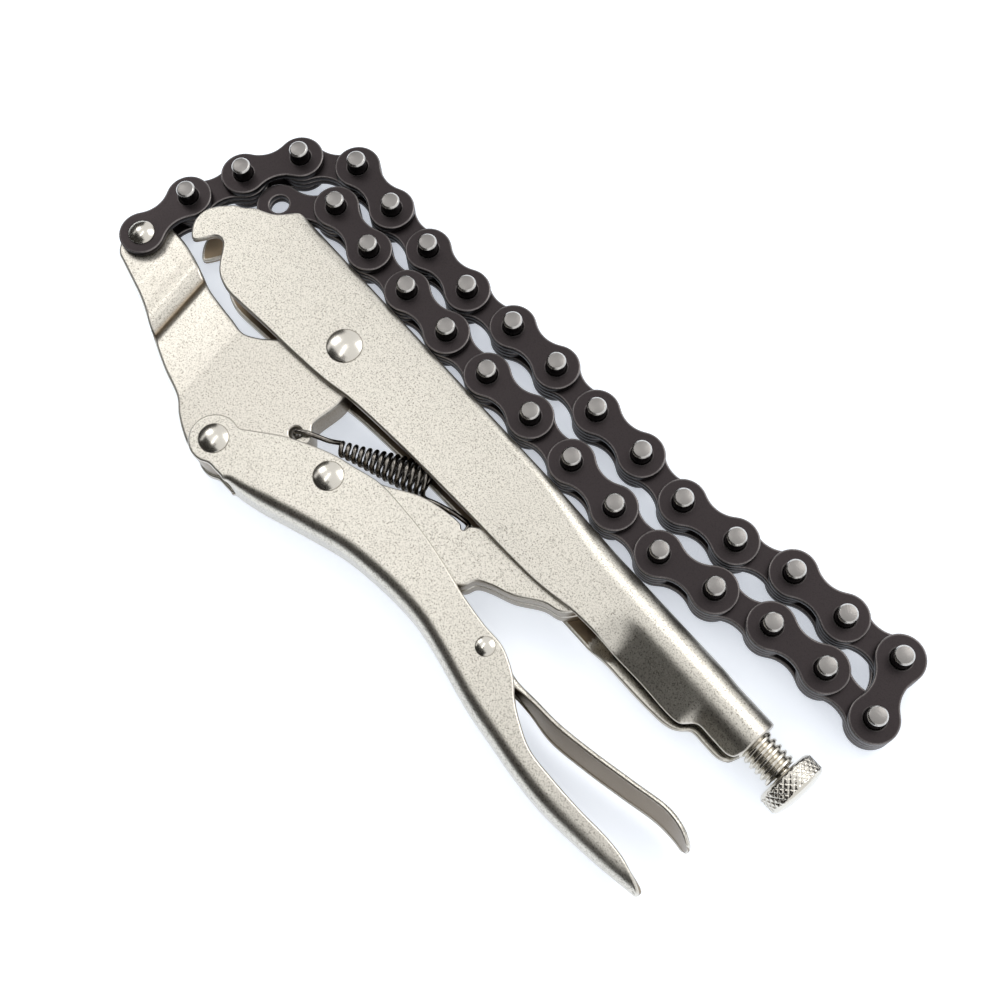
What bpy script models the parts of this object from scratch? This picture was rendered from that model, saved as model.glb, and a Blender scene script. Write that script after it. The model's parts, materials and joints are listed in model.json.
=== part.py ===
"""Chain clamp: locking pliers whose jaw carries a roller-less plate chain, lying flat and locked.

Lengths are in metres. The drawing frame has its zero at the main rivet, with X along the main
handle to the knob, Y to the side where the chain lies, and Z up from the surface that it lies on.
Everything hangs on one empty, which is set at the end so that the origin is at the middle of the
clamp's footprint.
"""
import math

import bmesh
import bpy
from mathutils import Matrix, Vector

MM = 0.001

# Running gaps
GAP = 0.3 * MM
OVERRUN = 2.0 * MM
WELD = 0.003 * MM
FACE_SLIP = 0.01 * MM

# Chain
CHAIN_PITCH = 15.875 * MM
LINK_PAIRS = 15
PIN_RADIUS = 2.5 * MM
PIN_LENGTH = 16.0 * MM
PIN_CHAMFER = 0.4 * MM
PLATE_END_RADIUS = 6.15 * MM
PLATE_WAIST_HALF = 3.75 * MM
OUTER_PLATE = 1.9 * MM
INNER_LINK_WIDTH = 3.6 * MM
CHAIN_LANE_GAP = 0.4 * MM
LANE_SPACING = 13.3 * MM
PIN_SIDES = 10
PLATE_ARC_STEPS = 6

# Pressed steel handle, seen along the tool: a channel that becomes a tube at the tail
HANDLE_HALF_WIDTH = 6.9 * MM
HANDLE_WALL = 1.9 * MM
HANDLE_CORNER = 3.1 * MM
HANDLE_TAIL = 140.7 * MM
HANDLE_SPINE_Y = 16.0 * MM
HANDLE_EDGE_DROP = 12.9 * MM
NOSE_SETBACK = 7.5 * MM
SPINE_SETBACK = 22.5 * MM
TAIL_HALF_WIDTH = 6.6 * MM
ROUND_START = 56.0 * MM
ROUND_END = 90.0 * MM
CLOSE_START = 97.0 * MM
CLOSE_END = 106.0 * MM
SWAGE_START = 123.0 * MM
SWAGE_END = 129.0 * MM
SEAM_HALF_GAP = 0.15 * MM
CORNER_STEPS = 4

# Jaw
JAW_REACH = 63.0 * MM
JAW_TIP_DROP = 19.1 * MM
JAW_THICKNESS = 9.4 * MM
JAW_BOSS_RADIUS = 9.2 * MM
JAW_END_RADIUS = 6.0 * MM
SPRING_HOLE_RADIUS = 1.5 * MM
SPRING_HOLE_X = 9.2 * MM
SPRING_HOLE_Y = -23.8 * MM
EAR_RADIUS = 4.4 * MM

# Lever
LEVER_PIVOT_X = -2.2 * MM
LEVER_PIVOT_Y = -40.3 * MM
LEVER_LENGTH = 150.1 * MM
LEVER_HEIGHT = 24.0 * MM
LEVER_CORNER = 3.8 * MM
LEVER_END_RADIUS = 6.6 * MM
LEVER_WEB_START = 7.8 * MM
LEVER_TIP_HALF_WIDTH = 4.4 * MM
LEVER_TAPER_SHARES = (0.8, 1.0)

# Toggle link; its pivot is in shares of the lever's length and height
LINK_PIVOT_SHARES = (0.1792, 0.6375)
LINK_TOE_X = 91.0 * MM
LINK_TOE_Y = 6.0 * MM
LINK_TOE_RADIUS = 3.4 * MM
LINK_HEEL_RADIUS = 6.0 * MM
LINK_NOTCH_RADIUS = 1.1 * MM

# Release lever; its pivot is in shares of the lever's length and height
RELEASE_PIVOT_SHARES = (0.5663, 0.6875)
RELEASE_LENGTH = 66.1 * MM
RELEASE_SHEET = 1.2 * MM
RELEASE_TAIL_HALF = 6.0 * MM
RELEASE_LEAN = 2.6 * MM

# Screw and knob
TOGGLE_CLEARANCE = 2.6 * MM
THREAD_PITCH = 1.75 * MM
THREAD_DEPTH = 1.0 * MM
THREADS_SHOWN = 5
THREAD_LEAD_SHARE = 0.15
KNOB_RADIUS = 7.8 * MM
KNOB_LENGTH = 6.9 * MM
KNOB_CHAMFER = 0.9 * MM
KNOB_CROWN_SHARE = 0.55
SPIGOT_RADIUS = 2.4 * MM
SPIGOT_LENGTH = 3.4 * MM

# Rivets
MAIN_HEAD_RADIUS = 4.7 * MM
PIVOT_HEAD_RADIUS = 3.95 * MM
RELEASE_HEAD_RADIUS = 2.5 * MM
CHAIN_HEAD_RADIUS = 3.6 * MM
CHAIN_HEAD_HEIGHT = 1.5 * MM
MAIN_SHANK_RADIUS = 3.2 * MM
PIVOT_SHANK_RADIUS = 2.7 * MM
RELEASE_SHANK_RADIUS = 1.6 * MM
HEAD_SEAT_GAP = 0.2 * MM
DOME_SHARES = (0.0, 0.45, 0.8, 1.0)
DOME_FULLNESS = 0.9
RELEASE_DOME_SHARE = 0.7

# Spring
WIRE_RADIUS = 0.62 * MM
COILS = 12.5
COIL_POINTS = 10
COIL_FRONT_RADIUS = 1.6 * MM
COIL_REAR_RADIUS = 3.7 * MM
COIL_LENGTH = 24.0 * MM
COIL_GROWTH_SHARE = 0.9
COIL_FORWARD = 6.1 * MM
COIL_ASIDE = 7.8 * MM
COIL_SPLAY = math.radians(1.64)
HOOK_SHARES = (0.7, 0.52, 0.4, 0.75)
TAIL_SHARES = (0.35, 0.8)

# Places that follow from the sizes above
NOSE_REACH = JAW_REACH - NOSE_SETBACK
SPINE_FRONT = SPINE_SETBACK - NOSE_REACH
LINK_PIVOT_X = LEVER_PIVOT_X + LINK_PIVOT_SHARES[0] * LEVER_LENGTH
LINK_PIVOT_Y = LEVER_PIVOT_Y + LINK_PIVOT_SHARES[1] * LEVER_HEIGHT
RELEASE_PIVOT_X = LEVER_PIVOT_X + RELEASE_PIVOT_SHARES[0] * LEVER_LENGTH
RELEASE_PIVOT_Y = LEVER_PIVOT_Y + RELEASE_PIVOT_SHARES[1] * LEVER_HEIGHT
LINK_HEADING = math.atan2(LINK_TOE_Y - LINK_PIVOT_Y, LINK_TOE_X - LINK_PIVOT_X)
COIL_START_X = LINK_PIVOT_X - COIL_FORWARD
COIL_START_Y = LINK_PIVOT_Y + COIL_ASIDE
COIL_HEADING = LINK_HEADING + COIL_SPLAY

# Heights over the surface that the clamp lies on
MID_Z = PIN_LENGTH / 2
HANDLE_TOP = MID_Z + HANDLE_HALF_WIDTH
CHANNEL_HALF = HANDLE_HALF_WIDTH - HANDLE_WALL
TUBE_AXIS_Y = HANDLE_SPINE_Y - HANDLE_HALF_WIDTH
THREAD_RADIUS = CHANNEL_HALF - GAP
LINK_PLATE = (JAW_THICKNESS - GAP) / 2
OUTER_PLATE_INSIDE = INNER_LINK_WIDTH / 2 + GAP
LIP_HALF = HANDLE_WALL + SEAM_HALF_GAP

# Main handle, seen from above. The nose is in shares of its reach, and the lower edge in shares
# of the tail's length and of the edge's drop below the rivet.
NOSE_SHARES = (
    (-0.650, 0.330), (-0.667, 0.284), (-0.685, 0.281), (-0.715, 0.234), (-0.757, 0.182),
    (-0.804, 0.153), (-0.849, 0.132), (-0.885, 0.094), (-0.924, 0.070), (-0.951, 0.036),
    (-0.984, -0.011), (-1.000, -0.065), (-0.986, -0.126), (-0.944, -0.175), (-0.910, -0.193),
    (-0.881, -0.153), (-0.854, -0.099), (-0.823, -0.088), (-0.804, -0.094), (-0.777, -0.117),
    (-0.732, -0.168), (-0.685, -0.205), (-0.623, -0.227),
)
LOWER_EDGE_SHARES = (
    (-0.226, -1.000), (-0.203, -0.985), (-0.127, -0.907), (-0.064, -0.860), (0.026, -0.760),
    (0.087, -0.636), (0.199, -0.527), (0.284, -0.473), (0.416, -0.419), (0.505, -0.380),
    (0.568, -0.310), (0.654, -0.318), (0.711, -0.318), (0.838, -0.310), (0.885, -0.250),
    (0.903, -0.124), (0.915, 0.010), (0.977, 0.040), (1.000, 0.217),
)
TOP_LIP_SHARES = (
    (0.590, -0.500), (0.590, -0.305), (0.654, -0.270), (0.711, -0.155), (0.900, -0.108),
    (0.915, 0.130), (1.050, 0.150), (1.050, -0.500),
)

# Jaw, seen from above, in shares of its reach: its tip and lower edge, and its upper edge
JAW_LOWER_SHARES = (
    (-0.860, -0.191), (-0.957, -0.190), (-0.994, -0.192), (-1.044, -0.212), (-1.082, -0.252),
    (-1.090, -0.302), (-1.077, -0.352), (-1.046, -0.396), (-1.010, -0.428), (-0.960, -0.441),
    (-0.770, -0.487), (-0.578, -0.557), (-0.435, -0.605), (-0.292, -0.643), (-0.233, -0.681),
    (-0.165, -0.713), (-0.098, -0.733),
)
JAW_UPPER_SHARES = (
    (-0.246, -0.200), (-0.300, -0.246), (-0.344, -0.268), (-0.419, -0.263), (-0.516, -0.257),
    (-0.613, -0.246), (-0.735, -0.213),
)
# Half thickness along the jaw, across the groove and the ridge: place as a share of the reach
# from the main rivet toward the tip, and height as a share of the half thickness
JAW_STEP_SHARES = (
    (0.300, 1.000), (-0.417, 1.000), (-0.560, 0.880), (-0.655, 0.760), (-0.688, 0.560),
    (-0.712, 0.700), (-0.745, 0.745), (-0.820, 0.590), (-0.900, 0.440),
)
JAW_SLANT = math.radians(12.0)

# Lever, from its pivot, in shares of its length and of its height: the open upper edge from the
# pivot to the tip, and the outer side
LEVER_EDGE_SHARES = (
    (0.001, 0.300), (0.030, 0.262), (0.079, 0.588), (0.154, 0.825), (0.191, 0.896),
    (0.243, 0.988), (0.310, 0.996), (0.373, 0.971), (0.444, 0.904), (0.472, 0.871),
    (0.540, 0.825), (0.582, 0.821), (0.630, 0.704), (0.660, 0.563), (0.692, 0.454),
    (0.734, 0.354), (0.791, 0.333), (0.852, 0.337), (0.909, 0.362), (0.950, 0.350),
    (0.980, 0.300), (1.000, 0.245),
)
LEVER_SIDE_SHARES = (
    (0.067, -0.190), (0.131, -0.100), (0.182, 0.013), (0.225, 0.108), (0.290, 0.238),
    (0.363, 0.313), (0.418, 0.338), (0.462, 0.333), (0.515, 0.283), (0.558, 0.229),
    (0.614, 0.163), (0.679, 0.117), (0.742, 0.075), (0.809, 0.063), (0.874, 0.096),
    (0.935, 0.142), (0.987, 0.196), (1.010, 0.220),
)

# Toggle link, in shares of the way from its pivot to its toe, along it and across it
TOGGLE_UPPER_SHARES = (
    (0.159, 0.054), (0.310, 0.069), (0.410, 0.054), (0.465, 0.036), (0.510, 0.036),
    (0.533, 0.046), (0.620, 0.062), (0.800, 0.052),
)
TOGGLE_LOWER_SHARES = (
    (0.960, -0.080), (0.900, -0.112), (0.838, -0.106), (0.736, -0.124), (0.646, -0.121),
    (0.600, -0.128), (0.575, -0.155), (0.520, -0.172), (0.420, -0.150), (0.280, -0.105),
    (0.130, -0.083),
)
NOTCH_PLACE_SHARES = (0.487, 0.030)

# Release lever, from its pivot, in shares of its length: place, height of the top edge over the
# pivot, half width as a share of the tail's, cheek depth as a share of the length, and lean
RELEASE_SHARES = (
    (-0.190, 0.020, 0.78, 0.060, 0.00),
    (-0.100, 0.034, 0.78, 0.085, 0.00),
    (0.050, 0.034, 0.78, 0.090, 0.00),
    (0.110, 0.020, 0.78, 0.060, 0.10),
    (0.170, 0.012, 0.78, 0.030, 0.30),
    (0.260, 0.018, 0.80, 0.022, 0.70),
    (0.380, 0.024, 0.94, 0.022, 1.00),
    (0.540, 0.052, 1.00, 0.022, 1.00),
    (0.700, 0.086, 1.00, 0.022, 1.00),
    (0.850, 0.116, 1.00, 0.022, 0.90),
    (0.930, 0.108, 0.96, 0.022, 0.60),
    (0.980, 0.086, 0.80, 0.022, 0.25),
    (1.000, 0.072, 0.50, 0.022, 0.00),
)

# Where the chain lies: the first pins climb round the nose by their links' headings, then each
# pin has its height in shares of the pitch over the outer lane, and over the inner lane
FIRST_HEADINGS = (91.3, 74.3, 66.5)
OUTER_LANE_SHARES = (
    0.02, -0.06, -0.09, -0.10, 0.03, 0.08, 0.04, 0.08, 0.03, 0.20, 0.51, 0.60, 0.77,
)
INNER_LANE_SHARES = (
    0.68, 0.66, 0.53, 0.27, 0.03, 0.02, 0.03, 0.05, 0.01, 0.0, 0.0, 0.01, 0.11, -0.545,
)

scene_root = None


def clear_scene():
    for item in list(bpy.data.objects):
        bpy.data.objects.remove(item, do_unlink=True)


def make_collection(name):
    collection = bpy.data.collections.new(name)
    bpy.context.scene.collection.children.link(collection)
    return collection


def make_material(name, colour, roughness, metallic):
    material = bpy.data.materials.new(name)
    material.use_nodes = True
    shader = material.node_tree.nodes["Principled BSDF"]
    shader.inputs["Base Color"].default_value = (*colour, 1.0)
    shader.inputs["Roughness"].default_value = roughness
    shader.inputs["Metallic"].default_value = metallic
    material.diffuse_color = (*colour, 1.0)
    return material


def smooth_step(start, end, value):
    t = min(max((value - start) / (end - start), 0.0), 1.0)
    return t * t * (3 - 2 * t)


def blend(first, second, share):
    return first + (second - first) * share


def scaled(shares, along, across):
    return [(x * along, y * across) for x, y in shares]


def arc(centre, radius, start, end, steps):
    """Points of a round stretch, from one angle in degrees to another."""
    points = []
    for i in range(steps + 1):
        angle = math.radians(blend(start, end, i / steps))
        points.append((centre[0] + radius * math.cos(angle), centre[1] + radius * math.sin(angle)))
    return points


def turned_about(points, angle, place=(0.0, 0.0)):
    """Points turned about zero by an angle in radians and then moved to a place."""
    c = math.cos(angle)
    s = math.sin(angle)
    return [(place[0] + c * x - s * y, place[1] + s * x + c * y) for x, y in points]


def add_object(name, mesh, collection, material=None, pivot=(0.0, 0.0, 0.0)):
    """Puts a mesh that is drawn in the common frame on an object with its origin at the pivot."""
    mesh.name = name
    mesh.transform(Matrix.Translation(-Vector(pivot)))
    if material is not None:
        mesh.materials.clear()
        mesh.materials.append(material)
    item = bpy.data.objects.new(name, mesh)
    item.location = pivot
    item.parent = scene_root
    collection.objects.link(item)
    return item


def outline_mesh(name, loops, low, high):
    """A plate from flat outlines: the first loop is its edge, the others are its holes."""
    curve = bpy.data.curves.new(name, "CURVE")
    curve.dimensions = "2D"
    curve.fill_mode = "BOTH"
    curve.extrude = (high - low) / 2
    for loop in loops:
        spline = curve.splines.new("POLY")
        spline.points.add(len(loop) - 1)
        for point, (x, y) in zip(spline.points, loop):
            point.co = (x, y, 0.0, 1.0)
        spline.use_cyclic_u = True
    item = bpy.data.objects.new(name, curve)
    bpy.context.scene.collection.objects.link(item)
    mesh = mesh_of(item)
    mesh.transform(Matrix.Translation((0.0, 0.0, (low + high) / 2)))
    return mesh


def mesh_of(item):
    """The evaluated object as a mesh with its seams welded; the object itself is removed."""
    graph = bpy.context.evaluated_depsgraph_get()
    mesh = bpy.data.meshes.new_from_object(item.evaluated_get(graph))
    bm = bmesh.new()
    bm.from_mesh(mesh)
    bmesh.ops.remove_doubles(bm, verts=bm.verts, dist=WELD)
    bmesh.ops.recalc_face_normals(bm, faces=bm.faces)
    bm.to_mesh(mesh)
    bm.free()
    bpy.data.objects.remove(item, do_unlink=True)
    return mesh


def loft_mesh(name, rings):
    """A closed skin over rings of equal point counts, with flat ends."""
    bm = bmesh.new()
    rows = [[bm.verts.new(point) for point in ring] for ring in rings]
    count = len(rows[0])
    for row, following in zip(rows, rows[1:]):
        for i in range(count):
            j = (i + 1) % count
            bm.faces.new((row[i], row[j], following[j], following[i]))
    bm.faces.new(rows[0])
    bm.faces.new(list(reversed(rows[-1])))
    bmesh.ops.recalc_face_normals(bm, faces=bm.faces)
    mesh = bpy.data.meshes.new(name)
    bm.to_mesh(mesh)
    bm.free()
    return mesh


def cylinder_mesh(name, centre, radius, low, high, sides):
    bm = bmesh.new()
    place = Matrix.Translation((centre[0], centre[1], (low + high) / 2))
    bmesh.ops.create_cone(bm, cap_ends=True, segments=sides, radius1=radius, radius2=radius,
                          depth=high - low, matrix=place)
    mesh = bpy.data.meshes.new(name)
    bm.to_mesh(mesh)
    bm.free()
    return mesh


def turned_object(name, profile, sides, collection, material, place):
    """A round piece about its own Z: the profile goes down its outer side, radius by height."""
    mesh = bpy.data.meshes.new(name)
    points = [(radius, 0.0, height) for radius, height in profile]
    edges = [(i, i + 1) for i in range(len(points) - 1)]
    mesh.from_pydata(points, edges, [])
    item = add_object(name, mesh, collection, material)
    item.location = place
    screw = item.modifiers.new("Turn", "SCREW")
    screw.steps = sides
    screw.render_steps = sides
    screw.use_merge_vertices = True
    screw.merge_threshold = WELD
    screw.use_smooth_shade = True
    return item


def boolean(item, tool, operation):
    modifier = item.modifiers.new(operation.title(), "BOOLEAN")
    modifier.operation = operation
    modifier.solver = "EXACT"
    modifier.object = tool


def make_cutter(name, mesh):
    cutter = add_object(name, mesh, cutters)
    cutter.hide_render = True
    cutter.display_type = "WIRE"
    return cutter


def smooth_faces(item, angle=35.0):
    item.data.shade_smooth()
    item.data.set_sharp_from_angle(angle=math.radians(angle))


def pin_places():
    """The chain's pins in order from the jaw; the last place is the open eye."""
    places = [(-JAW_REACH, -JAW_TIP_DROP)]
    for heading in FIRST_HEADINGS:
        x, y = places[-1]
        angle = math.radians(heading)
        places.append((x + CHAIN_PITCH * math.cos(angle), y + CHAIN_PITCH * math.sin(angle)))
    inner_lane = HANDLE_SPINE_Y + CHAIN_LANE_GAP + PLATE_END_RADIUS
    outer_lane = inner_lane + LANE_SPACING
    for lane, shares, way in ((outer_lane, OUTER_LANE_SHARES, 1.0),
                              (inner_lane, INNER_LANE_SHARES, -1.0)):
        for share in shares:
            x, y = places[-1]
            rise = lane + share * CHAIN_PITCH - y
            run = math.sqrt(CHAIN_PITCH ** 2 - rise ** 2)
            side = way
            if way < 0 and share == shares[0]:
                side = 1.0
            places.append((x + side * run, lane + share * CHAIN_PITCH))
    return places


def link_outline():
    """A plate with two round ends and a drawn-in waist, from its first pin along +X."""
    half = CHAIN_PITCH / 2
    waist_radius = (half ** 2 + PLATE_WAIST_HALF ** 2 - PLATE_END_RADIUS ** 2) / 2
    waist_radius = waist_radius / (PLATE_END_RADIUS - PLATE_WAIST_HALF)
    lean = math.degrees(math.atan2(waist_radius + PLATE_WAIST_HALF, half))
    points = arc((0.0, 0.0), PLATE_END_RADIUS, lean, 360.0 - lean, PLATE_ARC_STEPS)
    points.append((half, -PLATE_WAIST_HALF))
    points += arc((CHAIN_PITCH, 0.0), PLATE_END_RADIUS, lean - 180.0, 180.0 - lean, PLATE_ARC_STEPS)
    points.append((half, PLATE_WAIST_HALF))
    return points


def ring_of(centre, radius, sides):
    """A round hole or pin; it starts a quarter of a side off the axis of symmetry."""
    step = 360.0 / sides
    return arc(centre, radius, step / 4, step / 4 + step * (sides - 1), sides - 1)


def pin_mesh(name, x, low, high):
    """A straight chain pin with a small chamfer at both ends."""
    small = PIN_RADIUS - PIN_CHAMFER
    rings = []
    for radius, z in ((small, low), (PIN_RADIUS, low + PIN_CHAMFER),
                      (PIN_RADIUS, high - PIN_CHAMFER), (small, high)):
        rings.append([(px, py, z) for px, py in ring_of((x, 0.0), radius, PIN_SIDES)])
    return loft_mesh(name, rings)


def outer_link_mesh(name, first_is_open):
    """Two plates on two pins; the jaw's link has a bore in place of its first pin."""
    edge = link_outline()
    holes = []
    if first_is_open:
        holes = [ring_of((0.0, 0.0), PIN_RADIUS + GAP, PIN_SIDES)]
    inside = OUTER_PLATE_INSIDE
    outside = OUTER_PLATE_INSIDE + OUTER_PLATE
    upper = outline_mesh(name, [edge] + holes, MID_Z + inside, MID_Z + outside)
    item = add_object(name, upper, cutters)
    pieces = [outline_mesh(name, [edge] + holes, MID_Z - outside, MID_Z - inside)]
    for x in ((CHAIN_PITCH,) if first_is_open else (0.0, CHAIN_PITCH)):
        pieces.append(pin_mesh(name, x, 0.0, PIN_LENGTH))
    helpers = []
    for mesh in reversed(pieces):
        helper = add_object(name, mesh, cutters)
        boolean(item, helper, "UNION")
        helpers.append(helper)
    mesh = mesh_of(item)
    for helper in helpers:
        bpy.data.objects.remove(helper, do_unlink=True)
    return mesh


def inner_link_mesh(name):
    edge = link_outline()
    holes = [ring_of((x, 0.0), PIN_RADIUS + GAP, PIN_SIDES) for x in (0.0, CHAIN_PITCH)]
    half = INNER_LINK_WIDTH / 2
    return outline_mesh(name, [edge] + holes, MID_Z - half, MID_Z + half)


def make_chain():
    """Every link lies on its first pin and points to its second."""
    places = pin_places()
    black = make_material("blackened_plate", (0.062, 0.055, 0.058), 0.38, 0.85)
    outer = outer_link_mesh("outer_link", False)
    first = outer_link_mesh("outer_link_first", True)
    inner = inner_link_mesh("inner_link")
    for number in range(2 * LINK_PAIRS):
        x, y = places[number]
        far_x, far_y = places[number + 1]
        kind = "inner_link" if number % 2 else "outer_link"
        mesh = inner if number % 2 else (first if number == 0 else outer)
        item = bpy.data.objects.new(f"{kind}_{number // 2 + 1:02d}", mesh)
        item.location = (x, y, 0.0)
        item.rotation_euler = (0.0, 0.0, math.atan2(far_y - y, far_x - x))
        item.parent = scene_root
        parts.objects.link(item)
    for mesh in (outer, first, inner):
        mesh.materials.clear()
        mesh.materials.append(black)


def channel_side(top, half, corner, closing, lip, low):
    """Half of a channel's section, from the spine to the edge, as height and half width."""
    side = []
    for i in range(CORNER_STEPS + 1):
        angle = math.radians(90.0 * (1 - i / CORNER_STEPS))
        side.append((top - corner + corner * math.sin(angle), half - corner + corner * math.cos(angle)))
    limit = math.acos(lip / half)
    width = half
    for i in range(1, CORNER_STEPS + 1):
        angle = limit * i / CORNER_STEPS
        width = blend(half, half * math.cos(angle), closing)
        side.append((top - half - half * math.sin(angle), width))
    side.append((low, width))
    return side


def handle_ring(x):
    """The handle's section at one place: a channel in front, a closed tube at the tail."""
    half = blend(HANDLE_HALF_WIDTH, TAIL_HALF_WIDTH, smooth_step(SWAGE_START, SWAGE_END, x))
    top = TUBE_AXIS_Y + half
    rounding = smooth_step(ROUND_START, ROUND_END, x)
    closing = smooth_step(CLOSE_START, CLOSE_END, x)
    low = -HANDLE_EDGE_DROP - OVERRUN
    outer = channel_side(top, half, blend(HANDLE_CORNER, half, rounding), closing, LIP_HALF, low)
    inner_corner = blend(HANDLE_CORNER - HANDLE_WALL, CHANNEL_HALF, rounding)
    inner_top = TUBE_AXIS_Y + CHANNEL_HALF
    inner = channel_side(inner_top, CHANNEL_HALF, inner_corner, closing, SEAM_HALF_GAP, low)
    ring = [(x, y, MID_Z + z) for y, z in reversed(outer)]
    ring += [(x, y, MID_Z - z) for y, z in outer]
    ring += [(x, y, MID_Z - z) for y, z in reversed(inner)]
    ring += [(x, y, MID_Z + z) for y, z in inner]
    return ring


def make_handle(nickel):
    stations = [-NOSE_REACH - OVERRUN, SPINE_FRONT, ROUND_START]
    for start, end, count in ((ROUND_START, ROUND_END, 4), (CLOSE_START, CLOSE_END, 4),
                              (SWAGE_START, SWAGE_END, 2)):
        for i in range(count + 1):
            x = blend(start, end, i / count)
            if x > stations[-1]:
                stations.append(x)
    stations.append(HANDLE_TAIL)
    handle = add_object("main_handle", loft_mesh("main_handle", [handle_ring(x) for x in stations]),
                        parts, nickel)
    above = HANDLE_SPINE_Y + OVERRUN
    edge = scaled(NOSE_SHARES, NOSE_REACH, NOSE_REACH)
    edge += scaled(LOWER_EDGE_SHARES, HANDLE_TAIL, HANDLE_EDGE_DROP)
    edge += [(HANDLE_TAIL + OVERRUN, LOWER_EDGE_SHARES[-1][1] * HANDLE_EDGE_DROP)]
    edge += [(HANDLE_TAIL + OVERRUN, above), (edge[0][0], above)]
    low = MID_Z - HANDLE_HALF_WIDTH - OVERRUN
    high = HANDLE_TOP + OVERRUN
    blank = outline_mesh("handle_edge", [edge], low, high)
    boolean(handle, make_cutter("handle_edge", blank), "INTERSECT")
    lip = scaled(TOP_LIP_SHARES, HANDLE_TAIL, HANDLE_EDGE_DROP)
    boolean(handle, make_cutter("top_lip", outline_mesh("top_lip", [lip], MID_Z, high)), "DIFFERENCE")
    nose_left = -NOSE_REACH - 2 * OVERRUN
    nose = [(nose_left, -above), (SPINE_FRONT, -above), (SPINE_FRONT, above + OVERRUN),
            (nose_left, above + OVERRUN)]
    slot = outline_mesh("nose_slot", [nose], MID_Z - CHANNEL_HALF, MID_Z + CHANNEL_HALF)
    boolean(handle, make_cutter("nose_slot", slot), "DIFFERENCE")
    bore = cylinder_mesh("main_bore", (0.0, 0.0), MAIN_SHANK_RADIUS + GAP, low, high, 16)
    boolean(handle, make_cutter("main_bore", bore), "DIFFERENCE")
    smooth_faces(handle)


def make_jaw(nickel):
    """A forged plate: thick where it turns in the handle, thin at the tip that holds the chain."""
    spring_hole = (SPRING_HOLE_X, SPRING_HOLE_Y)
    lever_pivot = (LEVER_PIVOT_X, LEVER_PIVOT_Y)
    ear_edge = JAW_BOSS_RADIUS + 4 * GAP
    edge = scaled(JAW_LOWER_SHARES, JAW_REACH, JAW_REACH)
    edge += arc(lever_pivot, JAW_END_RADIUS, 270.0, 322.0, 3)
    edge += arc(spring_hole, EAR_RADIUS, -38.0, 62.0, 5)
    edge += [(ear_edge, SPRING_HOLE_Y + EAR_RADIUS), (ear_edge, -JAW_BOSS_RADIUS)]
    edge += arc((0.0, 0.0), JAW_BOSS_RADIUS, -20.0, 200.0, 10)
    edge += scaled(JAW_UPPER_SHARES, JAW_REACH, JAW_REACH)
    low = MID_Z - JAW_THICKNESS / 2
    high = MID_Z + JAW_THICKNESS / 2
    holes = [ring_of((0.0, 0.0), MAIN_SHANK_RADIUS + GAP, 16),
             ring_of(lever_pivot, PIVOT_SHANK_RADIUS + GAP, 12),
             ring_of(spring_hole, SPRING_HOLE_RADIUS, 10),
             ring_of((-JAW_REACH, -JAW_TIP_DROP), PIN_RADIUS + GAP, 10)]
    jaw = add_object("jaw", outline_mesh("jaw", [edge] + holes, low, high), parts, nickel)
    tongue = INNER_LINK_WIDTH / 2
    profile = [(x * JAW_REACH, y * JAW_THICKNESS / 2) for x, y in JAW_STEP_SHARES]
    profile[0] = (profile[0][0], profile[0][1] + OVERRUN)
    profile[1] = (profile[1][0], profile[1][1] + FACE_SLIP)
    profile.append((-JAW_REACH + PLATE_END_RADIUS, tongue))
    profile.append((-JAW_REACH - 2 * PLATE_END_RADIUS, tongue))
    loop = profile + [(x, -y) for x, y in reversed(profile)]
    mesh = outline_mesh("jaw_step", [loop], -JAW_REACH, JAW_REACH)
    mesh.transform(Matrix.Rotation(math.pi / 2, 4, "X"))
    mesh.transform(Matrix.Rotation(JAW_SLANT, 4, "Z"))
    mesh.transform(Matrix.Translation((0.0, 0.0, MID_Z)))
    boolean(jaw, make_cutter("jaw_step", mesh), "INTERSECT")
    smooth_faces(jaw)


def lever_ring(x, side_y, top_y, half):
    outer = []
    inner = []
    corner = LEVER_CORNER
    small = LEVER_CORNER - HANDLE_WALL
    for i in range(CORNER_STEPS + 1):
        angle = math.radians(90.0 * (1 - i / CORNER_STEPS))
        rise = math.sin(angle)
        run = math.cos(angle)
        outer.append((side_y + corner - corner * rise, half - corner + corner * run))
        inner.append((side_y + corner - small * rise, half - corner + small * run))
    outer.append((top_y, half))
    inner.append((top_y, half - HANDLE_WALL))
    ring = [(x, y, MID_Z + z) for y, z in reversed(outer)]
    ring += [(x, y, MID_Z - z) for y, z in outer]
    ring += [(x, y, MID_Z - z) for y, z in reversed(inner)]
    ring += [(x, y, MID_Z + z) for y, z in inner]
    return ring


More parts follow.
